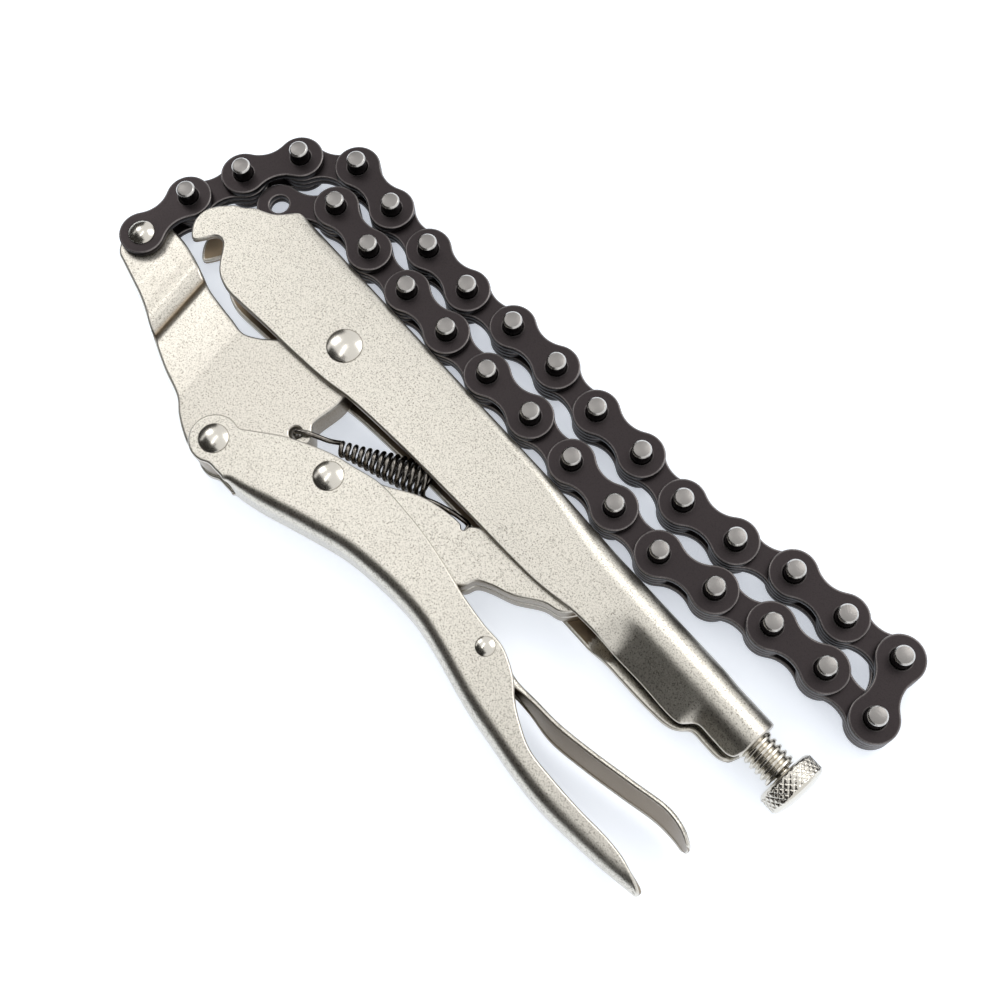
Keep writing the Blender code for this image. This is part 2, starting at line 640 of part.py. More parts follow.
def make_lever(nickel):
    """A channel that opens to the main handle, flat cheeks in front and a shallow tail."""
    pivot = (LEVER_PIVOT_X, LEVER_PIVOT_Y)
    top_y = LEVER_PIVOT_Y + LEVER_HEIGHT + OVERRUN
    rings = []
    for share_x, share_y in LEVER_SIDE_SHARES:
        taper = smooth_step(*LEVER_TAPER_SHARES, share_x)
        half = blend(HANDLE_HALF_WIDTH, LEVER_TIP_HALF_WIDTH, taper)
        side_y = LEVER_PIVOT_Y + share_y * LEVER_HEIGHT
        rings.append(lever_ring(LEVER_PIVOT_X + share_x * LEVER_LENGTH, side_y, top_y, half))
    place = (LEVER_PIVOT_X, LEVER_PIVOT_Y, 0.0)
    lever = add_object("lever_handle", loft_mesh("lever_handle", rings), parts, nickel, place)
    edge = scaled(LEVER_EDGE_SHARES, LEVER_LENGTH, LEVER_HEIGHT)
    edge = turned_about(edge, 0.0, pivot)
    below = LEVER_PIVOT_Y - LEVER_END_RADIUS - OVERRUN
    tip = edge[-1]
    behind = tip[0] - OVERRUN
    body = [(edge[0][0], below)] + edge[1:] + [(behind, tip[1] - OVERRUN), (behind, below)]
    low = MID_Z - HANDLE_HALF_WIDTH
    high = HANDLE_TOP
    body_mesh = outline_mesh("lever_edge", [list(reversed(body))], low - OVERRUN, high + OVERRUN)
    boolean(lever, make_cutter("lever_edge", body_mesh), "INTERSECT")
    web_end = LEVER_PIVOT_X + LEVER_SIDE_SHARES[2][0] * LEVER_LENGTH
    web_y = LEVER_PIVOT_Y + LEVER_SIDE_SHARES[2][1] * LEVER_HEIGHT + LEVER_CORNER + GAP
    front_y = LEVER_PIVOT_Y + LEVER_SIDE_SHARES[0][1] * LEVER_HEIGHT + LEVER_CORNER + GAP
    cheek = arc(pivot, LEVER_END_RADIUS, 75.0, 310.0, 12)
    cheek += [(LEVER_WEB_START, front_y), (web_end, web_y), edge[3], edge[2]]
    for name, base in (("upper_cheek", high - HANDLE_WALL), ("lower_cheek", low)):
        mesh = outline_mesh(name, [cheek], base, base + HANDLE_WALL)
        boolean(lever, make_cutter(name, mesh), "UNION")
    link = (LINK_PIVOT_X, LINK_PIVOT_Y)
    release = (RELEASE_PIVOT_X, RELEASE_PIVOT_Y)
    for name, centre, radius in (("lever_bore", pivot, PIVOT_SHANK_RADIUS),
                                 ("link_bore", link, PIVOT_SHANK_RADIUS),
                                 ("release_bore", release, RELEASE_SHANK_RADIUS)):
        mesh = cylinder_mesh(name, centre, radius + GAP, low - OVERRUN, high + OVERRUN, 12)
        boolean(lever, make_cutter(name, mesh), "DIFFERENCE")
    smooth_faces(lever)


def make_toggle(nickel):
    """Two plates side by side, from the lever to the screw's tip inside the handle."""
    length = math.hypot(LINK_TOE_X - LINK_PIVOT_X, LINK_TOE_Y - LINK_PIVOT_Y)
    edge = arc((0.0, 0.0), LINK_HEEL_RADIUS, 80.0, 270.0, 7)
    edge += list(reversed(scaled(TOGGLE_LOWER_SHARES, length, length)))
    edge += arc((length, 0.0), LINK_TOE_RADIUS, -80.0, 80.0, 6)
    edge += list(reversed(scaled(TOGGLE_UPPER_SHARES, length, length)))
    place = (LINK_PIVOT_X, LINK_PIVOT_Y)
    edge = turned_about(edge, LINK_HEADING, place)
    bore = ring_of(place, PIVOT_SHANK_RADIUS + GAP, 12)
    base = MID_Z - JAW_THICKNESS / 2
    for name, low in (("toggle_link_lower", base), ("toggle_link_upper", base + LINK_PLATE + GAP)):
        mesh = outline_mesh(name, [edge, bore], low, low + LINK_PLATE)
        item = add_object(name, mesh, parts, nickel, (place[0], place[1], 0.0))
        notch = cylinder_mesh(name + "_notch", notch_place()[0], LINK_NOTCH_RADIUS,
                              low - OVERRUN, low + LINK_PLATE + OVERRUN, 10)
        boolean(item, make_cutter(name + "_notch", notch), "DIFFERENCE")
        smooth_faces(item)


def release_ring(place, rise, width, depth, lean):
    x = RELEASE_PIVOT_X + place * RELEASE_LENGTH
    top = RELEASE_PIVOT_Y + rise * RELEASE_LENGTH
    half = width * RELEASE_TAIL_HALF
    reach = depth * RELEASE_LENGTH
    section = [(top, -half), (top, half), (top - reach, half), (top - reach, half - RELEASE_SHEET),
               (top - RELEASE_SHEET, half - RELEASE_SHEET), (top - RELEASE_SHEET, RELEASE_SHEET - half),
               (top - reach, RELEASE_SHEET - half), (top - reach, -half)]
    slope = lean * RELEASE_LEAN / (2 * RELEASE_TAIL_HALF)
    return [(x, y + slope * (z - half), MID_Z + z) for y, z in section]


def make_release_lever(nickel):
    """A thin strip that follows the lever, with two cheeks round its rivet and a short toe."""
    rings = [release_ring(*row) for row in RELEASE_SHARES]
    place = (RELEASE_PIVOT_X, RELEASE_PIVOT_Y, 0.0)
    item = add_object("release_lever", loft_mesh("release_lever", rings), parts, nickel, place)
    bore = cylinder_mesh("release_lever_bore", place, RELEASE_SHANK_RADIUS + GAP, 0.0, PIN_LENGTH, 12)
    boolean(item, make_cutter("release_lever_bore", bore), "DIFFERENCE")
    smooth_faces(item)


def make_screw(bright):
    """The threaded shank in the tail's tube, and the knob on the spigot at its end."""
    start = LINK_TOE_X + LINK_TOE_RADIUS + TOGGLE_CLEARANCE
    end = HANDLE_TAIL + (THREADS_SHOWN + THREAD_LEAD_SHARE) * THREAD_PITCH
    root = THREAD_RADIUS - THREAD_DEPTH
    nose = THREAD_RADIUS / 2
    tip = end + SPIGOT_LENGTH
    profile = [(0.0, tip), (SPIGOT_RADIUS, tip), (SPIGOT_RADIUS, end), (root, end)]
    for turn in range(THREADS_SHOWN + 1):
        crest = end - (turn + 1 / 2) * THREAD_PITCH
        profile += [(THREAD_RADIUS, crest + THREAD_PITCH / 8),
                    (THREAD_RADIUS, crest - THREAD_PITCH / 8),
                    (root, crest - THREAD_PITCH / 2)]
    profile += [(THREAD_RADIUS, profile[-1][1] - THREAD_DEPTH), (THREAD_RADIUS, start + nose / 2)]
    profile += [(nose, start), (0.0, start)]
    local = [(radius, x - start) for radius, x in profile]
    screw = turned_object("adjusting_screw", local, 16, parts, bright, (start, TUBE_AXIS_Y, MID_Z))
    screw.rotation_euler = (0.0, math.pi / 2, 0.0)
    hub = SPIGOT_RADIUS + GAP
    seat = GAP
    shoulder = KNOB_LENGTH - 3 * GAP
    rim = KNOB_RADIUS - KNOB_CHAMFER
    outer = [(0.0, KNOB_LENGTH), (KNOB_RADIUS * KNOB_CROWN_SHARE, KNOB_LENGTH - GAP),
             (rim, shoulder), (KNOB_RADIUS, shoulder - KNOB_CHAMFER),
             (KNOB_RADIUS, seat + KNOB_CHAMFER), (rim, seat), (hub, seat),
             (hub, SPIGOT_LENGTH + GAP), (0.0, SPIGOT_LENGTH + GAP)]
    knob = turned_object("screw_knob", outer, 24, parts, bright, (end, TUBE_AXIS_Y, MID_Z))
    knob.rotation_euler = (0.0, math.pi / 2, 0.0)


def make_rivet(name, place, head, shank, low, high, height, sides, material):
    """A shank with a low dome at both ends, standing on Z."""
    top = high + HEAD_SEAT_GAP
    bottom = low - HEAD_SEAT_GAP
    dome = []
    for share in DOME_SHARES:
        dome.append((head * share, height * math.sqrt(1.0 - DOME_FULLNESS * share ** 2)))
    profile = [(radius, high + rise) for radius, rise in dome]
    seat = head - HEAD_SEAT_GAP
    profile += [(seat, top), (shank, top), (shank, bottom), (seat, bottom)]
    profile += [(radius, low - rise) for radius, rise in reversed(dome)]
    turned_object(name, profile, sides, parts, material, (place[0], place[1], 0.0))


def make_rivets(bright):
    low = MID_Z - HANDLE_HALF_WIDTH
    high = HANDLE_TOP
    height = PIN_LENGTH - HANDLE_TOP
    lever_pivot = (LEVER_PIVOT_X, LEVER_PIVOT_Y)
    link_pivot = (LINK_PIVOT_X, LINK_PIVOT_Y)
    release_pivot = (RELEASE_PIVOT_X, RELEASE_PIVOT_Y)
    make_rivet("main_rivet", (0.0, 0.0), MAIN_HEAD_RADIUS, MAIN_SHANK_RADIUS, low, high,
               height, 16, bright)
    make_rivet("lever_rivet", lever_pivot, PIVOT_HEAD_RADIUS, PIVOT_SHANK_RADIUS, low, high,
               height, 12, bright)
    make_rivet("link_rivet", link_pivot, PIVOT_HEAD_RADIUS, PIVOT_SHANK_RADIUS, low, high,
               height, 12, bright)
    make_rivet("release_rivet", release_pivot, RELEASE_HEAD_RADIUS, RELEASE_SHANK_RADIUS, low, high,
               height * RELEASE_DOME_SHARE, 10, bright)
    plate = OUTER_PLATE_INSIDE + OUTER_PLATE
    make_rivet("chain_rivet", (-JAW_REACH, -JAW_TIP_DROP), CHAIN_HEAD_RADIUS, PIN_RADIUS, MID_Z - plate,
               MID_Z + plate, CHAIN_HEAD_HEIGHT, 12, bright)


def spring_route():
    """The wire from the jaw's ear, over its edge, through the coils and on to the link's notch."""
    along = Vector((math.cos(COIL_HEADING), math.sin(COIL_HEADING), 0.0))
    across = Vector((-math.sin(COIL_HEADING), math.cos(COIL_HEADING), 0.0))
    up = Vector((0.0, 0.0, 1.0))
    ear = Vector((SPRING_HOLE_X, SPRING_HOLE_Y, MID_Z + JAW_THICKNESS / 4))
    lift = Vector((0.0, 0.0, JAW_THICKNESS / 4 + WIRE_RADIUS + 2 * GAP))
    first = Vector((COIL_START_X, COIL_START_Y, MID_Z))
    entry = first + across * COIL_FRONT_RADIUS
    bend = ear + lift
    crest = bend.lerp(entry, HOOK_SHARES[1])
    crest.z = bend.z
    points = [ear, ear + lift * HOOK_SHARES[0], bend, crest]
    for share in HOOK_SHARES[2:]:
        points.append(crest.lerp(entry, share) + up * WIRE_RADIUS)
    steps = round(COILS * COIL_POINTS)
    for i in range(steps + 1):
        share = i / steps
        radius = blend(COIL_FRONT_RADIUS, COIL_REAR_RADIUS, smooth_step(0.0, COIL_GROWTH_SHARE, share))
        angle = math.tau * COILS * share
        centre = first + along * (COIL_LENGTH * share)
        points.append(centre + across * radius * math.cos(angle) + up * radius * math.sin(angle))
    return points


def notch_place():
    """The middle of the notch in the toggle link, and the way out of it."""
    length = math.hypot(LINK_TOE_X - LINK_PIVOT_X, LINK_TOE_Y - LINK_PIVOT_Y)
    local = scaled([NOTCH_PLACE_SHARES], length, length)
    x, y = turned_about(local, LINK_HEADING, (LINK_PIVOT_X, LINK_PIVOT_Y))[0]
    outward = Vector((-math.sin(LINK_HEADING), math.cos(LINK_HEADING), 0.0))
    return Vector((x, y, MID_Z)), outward


def least_gap(points, skip):
    """The smallest distance between the wire's surface and itself, away from its neighbours."""
    least = math.inf
    for i in range(len(points)):
        for j in range(i + skip, len(points)):
            least = min(least, (points[i] - points[j]).length - 2 * WIRE_RADIUS)
    return least


def make_spring(dark):
    points = spring_route()
    hook, outward = notch_place()
    last = points[-1]
    above = hook + outward * (2 * WIRE_RADIUS + 2 * GAP)
    points += [last.lerp(above, share) + outward * GAP for share in TAIL_SHARES]
    points += [above, hook]
    points.append(hook + Vector((0.0, 0.0, JAW_THICKNESS / 4)))
    print("spring: least gap to itself, mm:", round(least_gap(points, COIL_POINTS // 2) / MM, 2))
    curve = bpy.data.curves.new("spring", "CURVE")
    curve.dimensions = "3D"
    curve.bevel_depth = WIRE_RADIUS
    curve.bevel_resolution = 1
    curve.use_fill_caps = True
    spline = curve.splines.new("POLY")
    spline.points.add(len(points) - 1)
    for point, place in zip(spline.points, points):
        point.co = (*place, 1.0)
    curve.materials.append(dark)
    item = bpy.data.objects.new("spring", curve)
    item.parent = scene_root
    parts.objects.link(item)


def settle_on_origin():
    """Moves the root so that the origin is at the middle of the footprint."""
    bpy.context.view_layer.update()
    graph = bpy.context.evaluated_depsgraph_get()
    xs = []
    ys = []
    for item in parts.objects:
        if item.type == "EMPTY":
            continue
        mesh = item.evaluated_get(graph).to_mesh()
        for vertex in mesh.vertices:
            place = item.matrix_world @ vertex.co
            xs.append(place.x)
            ys.append(place.y)
    scene_root.location = (-(min(xs) + max(xs)) / 2, -(min(ys) + max(ys)) / 2, 0.0)
    bpy.context.view_layer.update()


clear_scene()
parts = make_collection("chain_clamp")
cutters = make_collection("cutters")
scene_root = bpy.data.objects.new("clamp_root", None)
parts.objects.link(scene_root)
satin_nickel = make_material("satin_nickel", (0.62, 0.58, 0.50), 0.36, 1.0)
bright_nickel = make_material("bright_nickel", (0.72, 0.69, 0.62), 0.2, 1.0)
dark_steel = make_material("dark_steel", (0.16, 0.15, 0.14), 0.3, 1.0)
make_handle(satin_nickel)
make_jaw(satin_nickel)
make_lever(satin_nickel)
make_toggle(satin_nickel)
make_release_lever(satin_nickel)
make_screw(bright_nickel)
make_rivets(bright_nickel)
make_spring(dark_steel)
make_chain()
settle_on_origin()
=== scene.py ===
"""Looks of a chain clamp: fuller pieces, materials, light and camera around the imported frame.

Shapes are worked out in millimetres in the drawing frame of the clamp: zero at the main rivet,
X along the handle to the knob, Y to the side where the chain lies, Z up from the floor.
"""
import json
import math
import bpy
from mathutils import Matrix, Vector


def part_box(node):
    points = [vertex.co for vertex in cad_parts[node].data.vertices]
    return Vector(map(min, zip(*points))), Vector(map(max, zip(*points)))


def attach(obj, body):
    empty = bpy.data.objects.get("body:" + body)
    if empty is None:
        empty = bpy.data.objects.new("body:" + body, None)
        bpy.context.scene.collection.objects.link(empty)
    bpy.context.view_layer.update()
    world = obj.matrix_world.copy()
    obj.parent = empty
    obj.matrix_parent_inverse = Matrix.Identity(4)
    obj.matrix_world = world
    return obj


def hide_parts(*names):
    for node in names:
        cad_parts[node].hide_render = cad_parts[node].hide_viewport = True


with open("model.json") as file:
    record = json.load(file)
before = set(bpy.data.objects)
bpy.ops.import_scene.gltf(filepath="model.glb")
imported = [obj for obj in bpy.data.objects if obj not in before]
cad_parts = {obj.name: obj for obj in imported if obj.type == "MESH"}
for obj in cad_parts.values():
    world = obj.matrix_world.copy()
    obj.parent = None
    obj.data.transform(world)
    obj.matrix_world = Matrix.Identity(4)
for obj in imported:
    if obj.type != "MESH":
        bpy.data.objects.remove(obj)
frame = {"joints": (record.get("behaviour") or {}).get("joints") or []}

from types import SimpleNamespace

import bpy
import numpy as np
from mathutils import Matrix, Vector
from mathutils.geometry import delaunay_2d_cdt

bl_info = {
    "name": "Chain clamp looks",
    "version": (1, 0, 0),
    "blender": (4, 5, 0),
    "location": "View3D > Sidebar > Clamp",
    "description": "Builds the shown pieces of a chain clamp around its frame",
    "category": "Object",
}

MM = 0.001

# Outlines seen from above, in millimetres
NOSE = (
    (-38.0, 15.6), (-39.7, 13.0), (-42.0, 10.1), (-44.6, 8.5), (-47.1, 7.3), (-49.1, 5.2),
    (-51.3, 3.9), (-52.8, 2.0), (-54.6, -0.6), (-55.5, -3.6), (-54.7, -7.0), (-52.4, -9.7),
    (-50.5, -10.7), (-48.9, -8.5), (-47.4, -5.5), (-45.7, -4.9), (-44.6, -5.2), (-43.1, -6.5),
    (-40.6, -9.3), (-38.0, -11.4), (-34.6, -12.6),
)
LOWER_EDGE = (
    (-31.8, -12.9), (-28.6, -12.7), (-17.9, -11.7), (-9.0, -11.1), (3.7, -9.8), (12.2, -8.2),
    (28.0, -6.8), (40.0, -6.1), (58.5, -5.4), (71.1, -4.9), (79.9, -4.2),
)
UPPER_SEAM = (
    (85.5, -3.3), (90.0, -2.5), (100.0, -2.0), (112.0, -1.7), (125.6, -1.35), (127.2, 0.3),
    (128.6, 1.7), (133.0, 1.9), (138.4, 2.0), (140.0, 2.7),
)
LOWER_SEAM = (
    (86.0, -4.1), (92.0, -4.1), (100.0, -4.1), (117.9, -4.0), (124.5, -3.2), (127.1, -1.6),
    (128.7, 0.13), (133.0, 0.3), (137.5, 0.52), (139.9, 1.7),
)
JAW_EDGE = (
    (-54.2, -12.0), (-60.3, -12.0), (-62.6, -12.1), (-65.8, -13.4), (-68.2, -15.9), (-68.7, -19.0),
    (-67.9, -22.2), (-65.9, -24.9), (-63.6, -27.0), (-60.5, -27.8), (-48.5, -30.7), (-36.4, -35.1),
    (-27.4, -38.1), (-18.4, -40.5), (-14.7, -42.9), (-10.4, -44.9), (-6.2, -46.2),
)
JAW_TOP = (
    (-15.5, -12.6), (-18.9, -15.5), (-21.7, -16.9), (-26.4, -16.6), (-32.5, -16.2), (-38.6, -15.5),
    (-46.3, -13.4),
)
# Half thickness of the jaw by the slanted place across its groove and ridge
JAW_HEIGHTS = (
    (-75.0, 1.8), (-60.0, 1.9), (-56.7, 2.0), (-51.7, 2.75), (-47.6, 3.5), (-45.9, 3.35),
    (-43.9, 2.3), (-41.3, 3.45), (-35.3, 4.0), (-25.6, 4.7), (-23.6, 4.6), (30.0, 4.6),
)
LEVER_EDGE = (
    (2.6, -31.6), (9.66, -26.2), (20.9, -20.5), (26.5, -18.8), (34.3, -16.6), (44.3, -16.4),
    (53.8, -17.0), (64.4, -18.6), (68.6, -19.4), (78.9, -20.5), (85.2, -20.6), (92.4, -23.4),
    (96.9, -26.8), (101.7, -29.4), (108.0, -31.8), (116.5, -32.3), (125.7, -32.2), (134.2, -31.6),
    (140.4, -31.9), (144.9, -33.1), (147.4, -34.2),
)
LEVER_SIDE = (
    (0.0, -45.6), (7.86, -44.86), (17.5, -42.7), (25.1, -40.0), (31.6, -37.7), (41.3, -34.6),
    (52.3, -32.8), (60.5, -32.2), (67.1, -32.3), (75.1, -33.5), (81.6, -34.8), (90.0, -36.4),
    (99.7, -37.5), (109.2, -38.5), (119.2, -38.8), (129.0, -38.0), (138.1, -36.9), (145.9, -35.6),
    (149.4, -35.0), (155.0, -34.0),
)
TOGGLE_UPPER = (
    (0.159, 0.054), (0.310, 0.069), (0.410, 0.054), (0.465, 0.036), (0.476, 0.030), (0.478, 0.018),
    (0.487, 0.015), (0.497, 0.018), (0.500, 0.032), (0.510, 0.038), (0.533, 0.046), (0.620, 0.062),
    (0.800, 0.052),
)
TOGGLE_LOWER = (
    (0.960, -0.080), (0.900, -0.112), (0.838, -0.106), (0.736, -0.124), (0.646, -0.121),
    (0.600, -0.128), (0.575, -0.155), (0.520, -0.172), (0.420, -0.150), (0.280, -0.105),
    (0.130, -0.083),
)
# Release lever by place along it: crest, half width, depth of its folded edge, and lean
RELEASE_ROWS = (
    (70.2, -22.5, 4.68, 4.0, 0.0), (76.2, -21.55, 4.68, 5.6, 0.0), (86.1, -21.55, 4.68, 5.9, 0.0),
    (90.1, -22.5, 4.68, 4.0, 0.10), (94.0, -23.0, 4.68, 2.0, 0.30),
    (100.0, -22.6, 4.80, 1.45, 0.70), (107.9, -22.2, 5.64, 1.45, 1.0),
    (118.5, -20.4, 6.0, 1.45, 1.0), (129.1, -18.1, 6.0, 1.45, 1.0),
    (139.0, -16.1, 6.0, 1.45, 0.90), (144.3, -16.7, 5.76, 1.45, 0.60),
    (147.6, -18.1, 4.80, 1.45, 0.25), (148.9, -19.0, 3.0, 1.45, 0.0),
    (153.0, -21.0, 2.0, 1.45, 0.0),
)
MAIN_PIVOT = (0.0, 0.0)
LEVER_PIVOT = (-2.2, -40.3)
LINK_PIVOT = (24.7, -25.0)
RELEASE_PIVOT = (82.8, -23.8)
LINK_TOE = (91.0, 6.0)
CHAIN_PIVOT = (-63.0, -19.1)
SPRING_HOLE = (9.2, -23.8)

# How outlines are worked on, in millimetres
CURVE_STEP = 0.25
FINE_STEP = 0.2
FLAT_BORDER = 0.2
WELD = 0.002
CLEAR_SHARE = 0.45
SHEET_GRID = (1.0, 0.62)
RELEASE_GRID = (0.9, 0.6)
JAW_GRID = (0.6, 0.6)
TOGGLE_GRID = (2.5, 2.5)
LINK_GRID = (3.0, 3.0)

# Values of the attribute: above zero rubbed rims, partly a painted highlight; below zero painted
# shade on side walls, inner faces, the jaw's groove and the pins' sides
RIM_WEAR_AND_HIGHLIGHT_START = 0.4
RIM_WEAR_AND_HIGHLIGHT = 1.0
SIDE_WALL_PAINTED_SHADE = -0.8
INNER_FACE_PAINTED_SHADE = -1.0


def length(name, description, millimetres):
    """A length for the panel, given in millimetres and kept in metres."""
    return bpy.props.FloatProperty(name=name, description=description, default=millimetres * MM,
                                   unit="LENGTH", precision=5)


def count(name, description, default):
    """A whole number for the panel."""
    return bpy.props.IntProperty(name=name, description=description, default=default, min=1)


def colour(name, description, default):
    """A colour for the panel."""
    return bpy.props.FloatVectorProperty(name=name, description=description, default=default,
                                         subtype="COLOR", size=3, min=0.0, max=1.0)


def share(name, description, default):
    """A value from zero to one for the panel."""
    return bpy.props.FloatProperty(name=name, description=description, default=default,
                                   subtype="FACTOR", min=0.0, max=1.0)


class ClampSizes(bpy.types.PropertyGroup):
    """Sizes of the pieces, in metres."""
    middle: length("Middle", "Height of the middle plane over the floor", 8.0)
    wall: length("Wall", "Thickness of the pressed steel", 1.9)
    half_width: length("Half width", "Half the width of handle and lever", 6.9)
    tail_half: length("Tail half width", "Half the width of the drawn-in tail", 6.6)
    spine: length("Spine", "Place of the handle's back", 16.0)
    corner: length("Corner", "Radius of the handle's folded corner", 3.1)
    tail: length("Tail", "Place of the handle's rear end", 140.7)
    dip: length("Dip", "How far the handle's cheek sinks at its free edge", 0.9)
    lever_corner: length("Lever corner", "Radius of the lever's folded corner", 3.8)
    lever_tip_half: length("Lever tip", "Half the width of the lever's tip", 4.4)
    rim: length("Rim", "Rounding of the pressed steel's cut edge", 0.6)
    step: length("Step", "Distance between points along an outline", 0.7)
    jaw_rim: length("Jaw rim", "Rounding of the jaw's edge", 0.8)
    jaw_half: length("Jaw half thickness", "Half the jaw's thickness at the rivet", 4.7)
    toggle_plate: length("Toggle plate", "Thickness of one toggle plate", 4.55)
    release_sheet: length("Release sheet", "Thickness of the release lever", 1.2)
    release_lean: length("Release lean", "How far the release lever leans over its width", 2.6)
    gap: length("Gap", "Running gap between pieces", 0.3)
    pitch: length("Pitch", "Distance between chain pins", 15.875)
    pin: length("Pin", "Radius of a chain pin", 2.5)
    pin_bevel: length("Pin bevel", "Bevel at a pin's end", 0.45)
    plate_end: length("Plate end", "Radius of a chain plate's round end", 6.15)
    plate_waist: length("Plate waist", "Half the height of a plate's waist", 3.75)
    plate_rim: length("Plate rim", "Rounding of a chain plate's edge", 0.35)
    main_head: length("Main rivet", "Radius of the main rivet's head", 4.7)
    pivot_head: length("Pivot rivet", "Radius of the other pivots' heads", 3.95)
    release_head: length("Release rivet", "Radius of the release rivet's head", 2.5)
    chain_head: length("Chain rivet", "Radius of the chain rivet's head", 3.6)
    wire: length("Wire", "Radius of the spring wire", 0.66)
    coils: count("Coils", "Whole coils of the spring", 13)
    thread: length("Thread", "Outer radius of the screw's thread", 4.65)
    thread_depth: length("Thread depth", "Depth of the screw's thread", 0.95)
    thread_pitch: length("Thread pitch", "Rise of the thread in one turn", 1.75)
    knob: length("Knob", "Radius of the knob", 7.8)
    knurl: length("Knurl", "Depth of the knob's diamond pattern", 0.35)


class ClampColours(bpy.types.PropertyGroup):
    """Colours and finishes."""
    nickel: colour("Satin nickel", "Colour of the blasted plating", (0.65, 0.622, 0.56))
    nickel_pit: colour("Nickel grain", "Colour in the plating's grain", (0.13, 0.115, 0.09))
    jaw_tone: colour("Jaw", "Colour of the forged jaw", (0.63, 0.60, 0.54))
    bright: colour("Bright nickel", "Colour of rivets, screw and knob", (0.66, 0.63, 0.57))
    plate: colour("Chain plate", "Colour of the blackened plates", (0.040, 0.033, 0.034))
    # Rubbed plate edges, partly a painted highlight
    plate_edge: colour("Plate edge", "Colour of the plates' rubbed edges", (0.26, 0.24, 0.235))
    pin_steel: colour("Pin", "Colour of the pins' ends", (0.26, 0.25, 0.24))
    spring: colour("Spring", "Colour of the spring wire", (0.22, 0.205, 0.185))
    # Painted shade on inner faces, side walls and the jaw's groove
    painted_shade_brown: colour("Brown", "Colour of the handle's inner faces", (0.20, 0.155, 0.105))
    sky: colour("Sky", "Light of the surroundings on matt surfaces", (0.90, 0.915, 0.94))
    floor_lift: colour("Floor lift", "Added where the floor is seen", (0.42, 0.445, 0.49))
    floor: colour("Floor", "Colour of the floor", (0.80, 0.82, 0.84))
    nickel_rough: share("Nickel roughness", "Roughness of the satin plating", 0.31)
    plate_rough: share("Plate roughness", "Roughness of the blackened plates", 0.36)
    grain: share("Grain", "Depth of the blasted grain", 0.48)


def sizes():
    """The lengths in millimetres, and the counts."""
    group = bpy.context.scene.clamp_sizes
    read = {}
    for name in ClampSizes.__annotations__:
        value = getattr(group, name)
        read[name] = value if isinstance(value, int) else value / MM
    return SimpleNamespace(**read)


def smooth_step(start, end, value):
    """Zero before start and one after end, with level ends: 3 t squared less 2 t cubed."""
    t = np.clip((value - start) / (end - start), 0.0, 1.0)
    return t * t * (3 - 2 * t)


def mix(first, second, part):
    """The value at a part of the way from first to second."""
    return first + (second - first) * part


def arc(centre, radius, start, end, number):
    """Points round a centre at one radius, evenly from one angle in degrees to the other."""
    angle = np.radians(np.linspace(start, end, number))
    return np.stack([centre[0] + radius * np.cos(angle), centre[1] + radius * np.sin(angle)], 1)


def bore(centre, radius, gap):
    """A hole's edge, which runs so that the material is on its left; gap is in degrees."""
    return arc(centre, radius, 360.0, gap, round(360.0 / gap))


def even(line, spacing, closed):
    """The line's points set evenly along it; a closed line doesn't repeat its first point."""
    line = np.vstack([line, line[:1]]) if closed else line
    run = np.concatenate([[0.0], np.cumsum(np.linalg.norm(np.diff(line, axis=0), axis=1))])
    number = max(int(round(run[-1] / spacing)), 3)
    at = np.linspace(0.0, run[-1], number + 1)
    at = at[:-1] if closed else at
    return np.stack([np.interp(at, run, line[:, k]) for k in range(line.shape[1])], 1)


def curved(points, closed=False, spacing=CURVE_STEP):
    """A curve through the points, drawn with knots at the roots of their distances."""
    p = np.asarray(points, float)
    if closed:
        p = np.vstack([p[-1:], p, p[:2]])
    else:
        p = np.vstack([2 * p[0] - p[1], p, 2 * p[-1] - p[-2]])
    knot = np.concatenate([[0.0], np.cumsum(np.sqrt(np.linalg.norm(np.diff(p, axis=0), axis=1)))])
    i = np.arange(len(p) - 3)
    k = [knot[i + j][:, None, None] for j in range(4)]
    q = [p[i + j][:, None, :] for j in range(4)]
    t = mix(k[1], k[2], np.linspace(0.0, 1.0, 40, endpoint=False)[None, :, None])

    def between(a, b, ka, kb):
        return (kb - t) / (kb - ka) * a + (t - ka) / (kb - ka) * b

    a = [between(q[j], q[j + 1], k[j], k[j + 1]) for j in range(3)]
    b = [between(a[j], a[j + 1], k[j], k[j + 2]) for j in range(2)]
    line = between(b[0], b[1], k[1], k[2]).reshape(-1, p.shape[1])
    if not closed:
        line = np.vstack([line, p[-2:-1]])
    return even(line, spacing, closed)


def softened(line, reach, closed):
    """The line with its corners eased over a reach, its ends kept."""
    spacing = np.linalg.norm(line[1] - line[0])
    half = max(int(3 * reach / spacing), 1)
    weight = np.exp(-0.5 * (np.arange(-half, half + 1) * spacing / reach) ** 2)
    weight = weight / weight.sum()
    if closed:
        padded = np.vstack([line[-half:], line, line[:half]])
    else:
        steps = np.arange(half, 0, -1)[:, None]
        padded = np.vstack([line[0] - steps * (line[1] - line[0]), line,
                            line[-1] + steps[::-1] * (line[-1] - line[-2])])
    columns = [np.convolve(padded[:, k], weight, "valid") for k in range(line.shape[1])]
    return np.stack(columns, 1)


def eased_edge(edge, start, end, reach, spacing):
    """An open edge with its corners eased over a reach, from start to end, set evenly."""
    edge = softened(even(edge, FINE_STEP, False), reach, False)
    edge[0] = start
    edge[-1] = end
    return even(edge, spacing, False)


def eased_loop(line, reach, spacing):
    """A closed line with its corners eased over a reach, set evenly."""
    return even(softened(line, reach, True), spacing, True)


def left_normals(line, closed):
    """Unit vectors to the left of the way along the line, a quarter turn from it."""
    if closed:
        way = np.roll(line, -1, 0) - np.roll(line, 1, 0)
    else:
        way = np.gradient(line, axis=0)
    normal = np.stack([-way[:, 1], way[:, 0]], 1)
    return normal / np.linalg.norm(normal, axis=1, keepdims=True)


